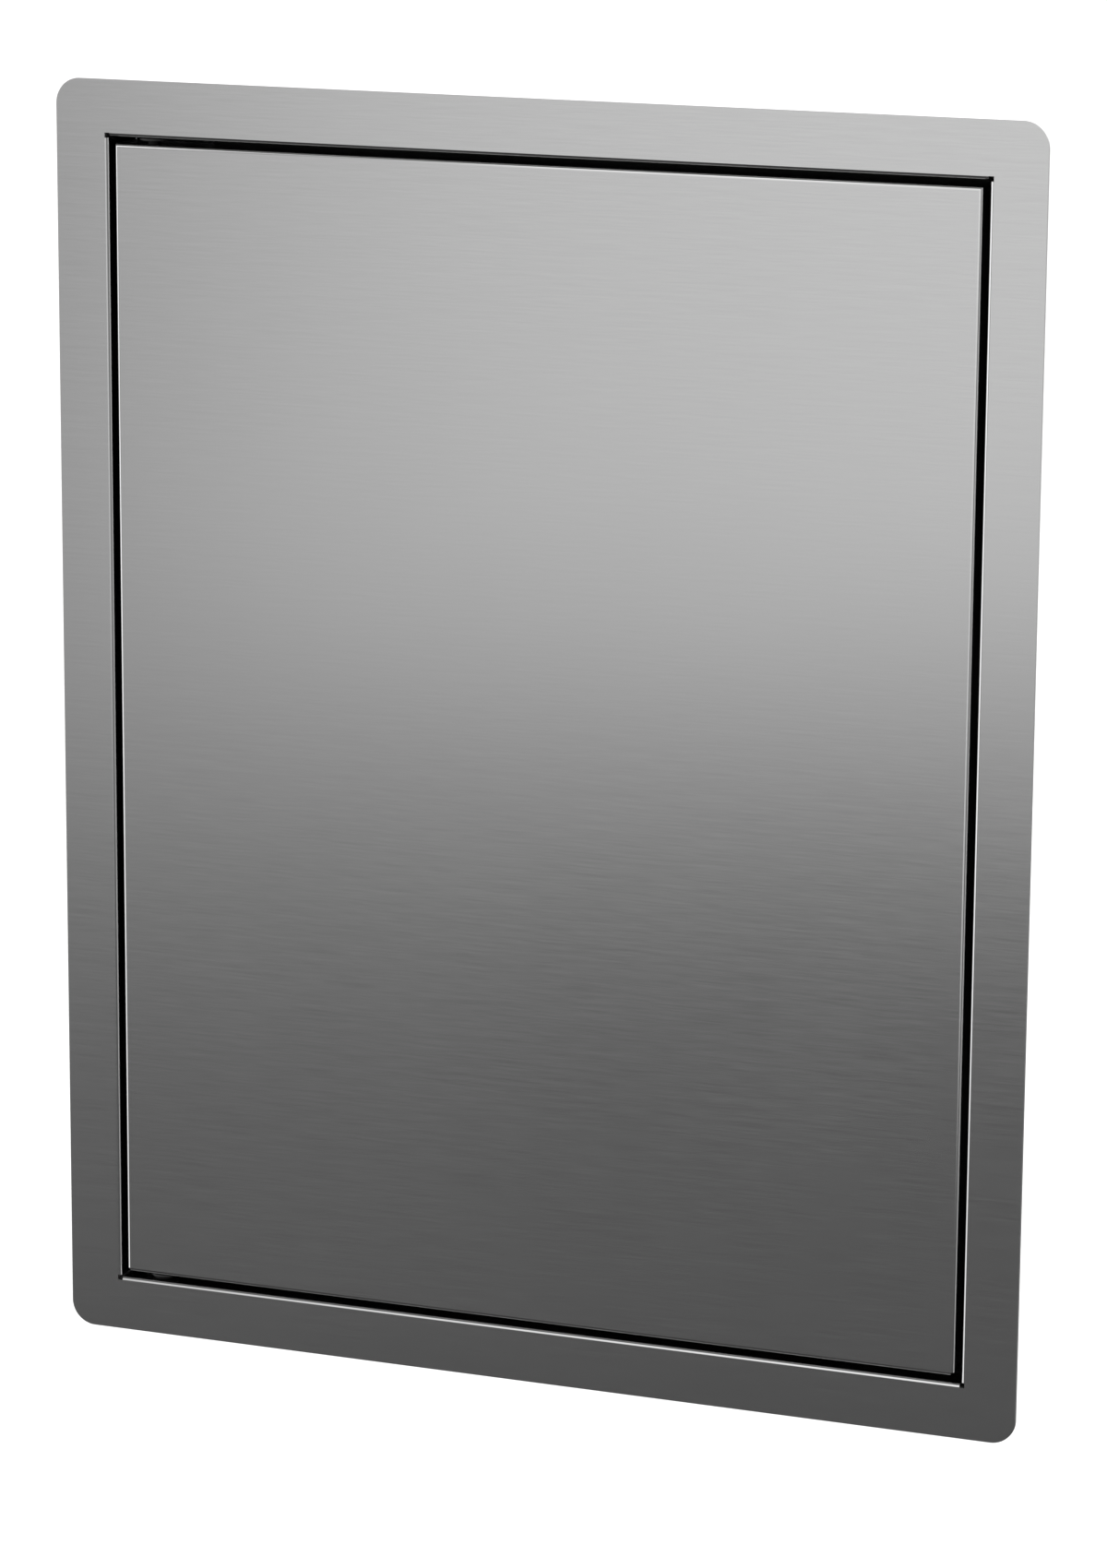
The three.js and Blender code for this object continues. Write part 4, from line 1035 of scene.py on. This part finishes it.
LATCH_EDGE = 0.7 * MM
LATCH_BORE = 4.6 * MM
LATCH_BORE_DEPTH = 27 * MM
BORE_CHAMFER = 0.6 * MM
LATCH_VENT_RADIUS = 1.5 * MM
PILOT_DEPTH = 2.7 * MM
MAGNET_EDGE = 0.5 * MM
MAGNET_EDGE_MIDDLE = 0.15 * MM


def build_latch():
    low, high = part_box("latch_housing")
    middle = centre_of("latch_housing")
    bm = box(low, high)
    bevel_sharp(bm, LATCH_EDGE, 4)
    housing = make_piece("latch_housing_moulding", bm)
    before, behind = low.y - CUT_MARGIN, high.y + CUT_MARGIN
    bore_end = low.y + LATCH_BORE_DEPTH
    bore = turned_mesh([
        (0.0, before), (LATCH_BORE + BORE_CHAMFER + CUT_MARGIN, before),
        (LATCH_BORE, low.y + BORE_CHAMFER), (LATCH_BORE, bore_end), (LATCH_VENT_RADIUS, bore_end),
        (LATCH_VENT_RADIUS, behind), (0.0, behind),
    ], Y, middle)
    span = (low.z - CUT_MARGIN, low.z + PILOT_DEPTH)
    pilots = [
        rod(LATCH_VENT_RADIUS, Z, centre_of(f"latch_seat_screw_{place}"), *span)
        for place in ("front", "rear")
    ]
    combine(housing, "DIFFERENCE", joined(bore, *pilots))
    smooth(housing)
    stand_for(housing, "latch_housing")

    low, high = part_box("latch_plunger")
    radius = (high.z - low.z) / 2
    lathe("latch_plunger", [
        (0.0, low.y), (radius - EDGE, low.y), (radius, low.y + EDGE), (radius, high.y - EDGE),
        (radius - EDGE, high.y), (0.0, high.y),
    ], Y, middle)

    low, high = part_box("latch_magnet")
    lathe("latch_magnet", [
        (0.0, low.y), (radius - MAGNET_EDGE, low.y),
        (radius - MAGNET_EDGE_MIDDLE, low.y + MAGNET_EDGE_MIDDLE), (radius, low.y + MAGNET_EDGE),
        (radius, high.y), (0.0, high.y),
    ], Y, middle)


THREAD_PITCH = 0.6 * MM
THREAD_DEPTH = 0.22 * MM
THREAD_START = 0.9 * MM
SCREW_POINT = 0.8 * MM
UNTHREADED = 2.0 * MM
DOME_STEPS = 8
# shares of a head's height that are its rim and its recess, and shares of its radius
RIM_HEIGHT, RECESS_DEPTH = 0.3, 0.6
RECESS_WIDTH, RECESS_LENGTH = 0.14, 0.52
# each kind: its axis, the side its head points to, its head's height and its shank's radius
SCREW_KINDS = {
    "mirror_clip_screw": (Y, 1, 1.4 * MM, 1.5 * MM),
    "strike_screw": (Y, 1, 1.2 * MM, 1.5 * MM),
    "latch_wall_screw": (X, -1, 1.5 * MM, 1.4 * MM),
    "latch_seat_screw": (Z, -1, 1.2 * MM, 1.2 * MM),
}


def screw_profile(under, tip, head_radius, head_height, shank_radius):
    """From the tip to the crown of a domed head, as [radius, place] points."""
    outward = 1.0 if under > tip else -1.0
    points = [(0.0, tip), (shank_radius * 0.35, tip), (shank_radius * 0.8, tip + outward * SCREW_POINT)]
    turns = int((abs(under - tip) - UNTHREADED) / THREAD_PITCH)
    for turn in range(turns):
        place = tip + outward * (THREAD_START + turn * THREAD_PITCH)
        points.append((shank_radius - THREAD_DEPTH, place))
        points.append((shank_radius, place + outward * THREAD_PITCH / 2))
    points += [(shank_radius - THREAD_DEPTH / 2, under), (head_radius, under)]
    for i in range(DOME_STEPS + 1):
        angle = math.pi / 2 * i / DOME_STEPS
        radius = head_radius * math.cos(angle) ** 0.7 if i < DOME_STEPS else 0.0
        height = head_height * (RIM_HEIGHT + (1.0 - RIM_HEIGHT) * math.sin(angle))
        points.append((radius, under + outward * height))
    return points


def build_screw(node, axis, towards, head_height, shank_radius):
    """A screw with a domed head and a cross recess. Towards is the side its head points to."""
    low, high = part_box(node)
    middle = centre_of(node)
    side = (axis + 1) % 3
    head_radius = (high[side] - low[side]) / 2
    top, tip = (high[axis], low[axis]) if towards > 0 else (low[axis], high[axis])
    under = top - towards * head_height
    profile = screw_profile(under, tip, head_radius, head_height, shank_radius)
    piece = make_piece(node + "_turned", turned_mesh(profile, axis, middle, 40))
    ends = sorted((top + towards * CUT_MARGIN, top - towards * head_height * RECESS_DEPTH))
    recess = []
    for long_side in ((axis + 1) % 3, (axis + 2) % 3):
        half = Vector((head_radius * RECESS_WIDTH,) * 3)
        half[long_side] = head_radius * RECESS_LENGTH
        corners = (middle - half, middle + half)
        for corner, end in zip(corners, ends):
            corner[axis] = end
        recess.append(make_piece("recess", box(*corners)))
    combine(piece, "DIFFERENCE", *recess)
    smooth(piece)
    stand_for(piece, node)


def build_screws():
    for kind, details in SCREW_KINDS.items():
        for node in SLOT_OF:
            if node.startswith(kind):
                build_screw(node, *details)


# ---- floor, light and camera

FLOOR_DROP = 0.35
FLOOR_SIZE = 30.0


def build_floor():
    bm = bmesh.new()
    bmesh.ops.create_grid(bm, x_segments=8, y_segments=8, size=FLOOR_SIZE)
    bmesh.ops.translate(bm, verts=bm.verts, vec=(0, 0, FRAME_LOW.z - FLOOR_DROP))
    floor = make_piece("floor", bm, "floor")
    floor.visible_glossy = False


# The studio that the steel reflects. Elevations and azimuths are in degrees; azimuth 0 is in
# front of the door, and is negative on its left. First, how bright each elevation is: the dark
# floor, the horizon, and the walls with the ceiling.
FLOOR_GLOW = [
    (-90.0, 0.16), (-60.0, 0.12), (-40.0, 0.045), (-30.0, 0.055), (-24.0, 0.08),
    (-18.0, 0.16), (-14.5, 0.16),
]
HORIZON = [(-14.0, 0.21), (-13.0, 0.40), (-12.0, 0.79)]
WALL_GLOW = [
    (-11.0, 1.08), (-8.0, 1.0), (-2.0, 1.1), (6.0, 1.3), (14.0, 1.8), (30.0, 1.8),
    (42.0, 0.6), (60.0, 0.4), (90.0, 0.5),
]
# how bright each azimuth is, as a share of that. It sets in between these two elevations.
SIDE_SHARE = [
    (-180.0, 0.8), (-150.0, 0.8), (-34.0, 0.45), (-26.0, 0.60), (-23.5, 0.88), (-20.6, 1.0),
    (-18.0, 1.06), (-16.0, 1.09), (-4.0, 1.1), (12.0, 0.85), (28.0, 0.3), (60.0, 0.3),
    (74.0, 1.0), (130.0, 0.95), (180.0, 0.8),
]
SIDE_SHARE_ELEVATIONS = (-14.5, -11.0)
# the floor's far edge is brighter on the left: from and to which azimuth, and by which shares
FLOOR_SIDE_SHARE = (-26.0, -16.5, 0.3, -0.28)
FLOOR_SIDE_ELEVATIONS = (-17.8, -16.2, -14.0, -12.5)
# each panel: azimuths and elevations between which it rises to its glow and falls again
PANELS = [
    ((-124.0, -110.0, -46.0, -40.0), (-34.0, -28.0, 12.0, 20.0), 1.5),
    ((60.0, 74.0, 130.0, 150.0), (-34.0, -28.0, -14.5, -12.0), 0.85),
]
STUDIO_LEVEL = 0.8


def curve(nodes, value, stops):
    """A piecewise straight function of a value, from (place, result) stops."""
    low, high = stops[0][0], stops[-1][0]
    ramp = nodes.add("ShaderNodeValToRGB", {0: nodes.remap(value, low, high, 0.0, 1.0)})
    elements = ramp.color_ramp.elements
    for index, (place, result) in enumerate(stops):
        position = (place - low) / (high - low)
        element = elements[index] if index < 1 else elements.new(position)
        element.position = position
        element.color = (result, result, result, 1.0)
    elements.remove(elements[-1])
    return ramp.outputs[0]


def inside(nodes, value, bounds):
    """1 between the middle two bounds, falling to 0 at the outer two."""
    rise = nodes.remap(value, bounds[0], bounds[1], 0.0, 1.0, "SMOOTHSTEP")
    fall = nodes.remap(value, bounds[2], bounds[3], 1.0, 0.0, "SMOOTHSTEP")
    return nodes.math("MULTIPLY", rise, fall)


def build_world():
    """A studio seen in the steel: light walls round a dark floor, and a bright panel on each
    side. The camera itself sees white."""
    world = bpy.data.worlds.new("studio")
    bpy.context.scene.world = world
    world.use_nodes = True
    nodes = Nodes(world.node_tree)
    direction = nodes.add("ShaderNodeTexCoord").outputs["Generated"]
    parts = nodes.add("ShaderNodeSeparateXYZ", {0: direction}).outputs
    elevation = nodes.math("DEGREES", nodes.math("ARCSINE", parts[Z]))
    towards_room = nodes.math("MULTIPLY", parts[Y], -1.0)
    azimuth = nodes.math("DEGREES", nodes.math("ARCTAN2", parts[X], towards_room))
    spread_share = nodes.remap(elevation, *SIDE_SHARE_ELEVATIONS, 0.0, 1.0, "SMOOTHSTEP")
    less = nodes.math("SUBTRACT", curve(nodes, azimuth, SIDE_SHARE), 1.0)
    spread = nodes.math("ADD", nodes.math("MULTIPLY", less, spread_share), 1.0)
    floor_side = nodes.math("MULTIPLY", nodes.remap(azimuth, *FLOOR_SIDE_SHARE),
                            inside(nodes, elevation, FLOOR_SIDE_ELEVATIONS))
    share = nodes.math("ADD", spread, floor_side)
    glow = nodes.math("MULTIPLY", curve(nodes, elevation, FLOOR_GLOW + HORIZON + WALL_GLOW), share)
    for azimuths, elevations, level in PANELS:
        height = nodes.math("MULTIPLY", inside(nodes, elevation, elevations), level)
        glow = nodes.math("ADD", glow, nodes.math("MULTIPLY", inside(nodes, azimuth, azimuths), height))
    lit = nodes.math("MULTIPLY", glow, STUDIO_LEVEL)
    seen = nodes.add("ShaderNodeLightPath").outputs["Is Camera Ray"]
    shade = nodes.add("ShaderNodeMix", {0: seen, 2: lit, 3: 1.0}, data_type="FLOAT").outputs[0]
    background = nodes.add("ShaderNodeBackground", {"Color": (1.0, 1.0, 1.0, 1.0), "Strength": shade})
    nodes.add("ShaderNodeOutputWorld", {"Surface": background.outputs[0]})


FLOOR_LIGHT = 2.2
FLOOR_LIGHT_SPREAD = math.radians(70.0)


def build_floor_light():
    """A very soft light from straight above, which the polished surfaces don't mirror."""
    light = bpy.data.lights.new("overhead", "SUN")
    light.energy = FLOOR_LIGHT
    light.angle = FLOOR_LIGHT_SPREAD
    lamp = bpy.data.objects.new("overhead", light)
    lamp.location = (0.0, 0.0, 3.0)
    lamp.visible_glossy = False
    bpy.context.scene.collection.objects.link(lamp)


CAMERA_AZIMUTH = math.radians(20.69)
CAMERA_ELEVATION = math.radians(12.99)
CAMERA_ROLL = math.radians(0.384)
CAMERA_DISTANCE = 2.115
CAMERA_TARGET = Vector((8.75 * MM, FACE_Y, -9.67 * MM))
CAMERA_LENS = 125.7


def build_camera():
    camera = bpy.data.cameras.new("camera")
    camera.lens = CAMERA_LENS
    camera.clip_end = 100.0
    holder = bpy.data.objects.new("camera", camera)
    bpy.context.scene.collection.objects.link(holder)
    away = Vector((
        math.sin(CAMERA_AZIMUTH) * math.cos(CAMERA_ELEVATION),
        -math.cos(CAMERA_AZIMUTH) * math.cos(CAMERA_ELEVATION),
        math.sin(CAMERA_ELEVATION),
    ))
    holder.location = CAMERA_TARGET + CAMERA_DISTANCE * away
    facing = (-away).to_track_quat("-Z", "Y").to_matrix().to_4x4()
    roll = Matrix.Rotation(CAMERA_ROLL, 4, "Z")
    holder.rotation_euler = (facing @ roll).to_euler()
    bpy.context.scene.camera = holder


# ---- assembly

# CAD pieces that only get rounded edges, and how wide
EDGE_WIDTHS = {
    "latch_bracket": 0.25 * MM,
    "upper_pivot_block": 0.6 * MM,
    "lower_pivot_block": 0.6 * MM,
    **{node: 0.3 * MM for node in SLOT_OF if node.startswith("shelf_clip_")},
    **{node: 0.25 * MM for node in SLOT_OF
       if node.startswith("mirror_clip_") and not node.startswith("mirror_clip_screw")},
}

build_camera()
build_floor()
build_world()
build_floor_light()
build_front_frame()
build_door_skin()
build_side_walls()
build_level_walls()
build_back()
build_seals()
build_shelves()
build_door_liner()
build_mirror()
build_strike()
build_pins()
build_bushes()
build_spring("upper_pivot_spring", Z, turns=5, wire_radius=0.35 * MM)
build_spring("latch_spring", Y, turns=4, wire_radius=0.4 * MM)
build_latch()
build_screws()
for edged_node, edge_width in EDGE_WIDTHS.items():
    soften(edged_node, edge_width)

bpy.context.scene.view_settings.view_transform = "Standard"
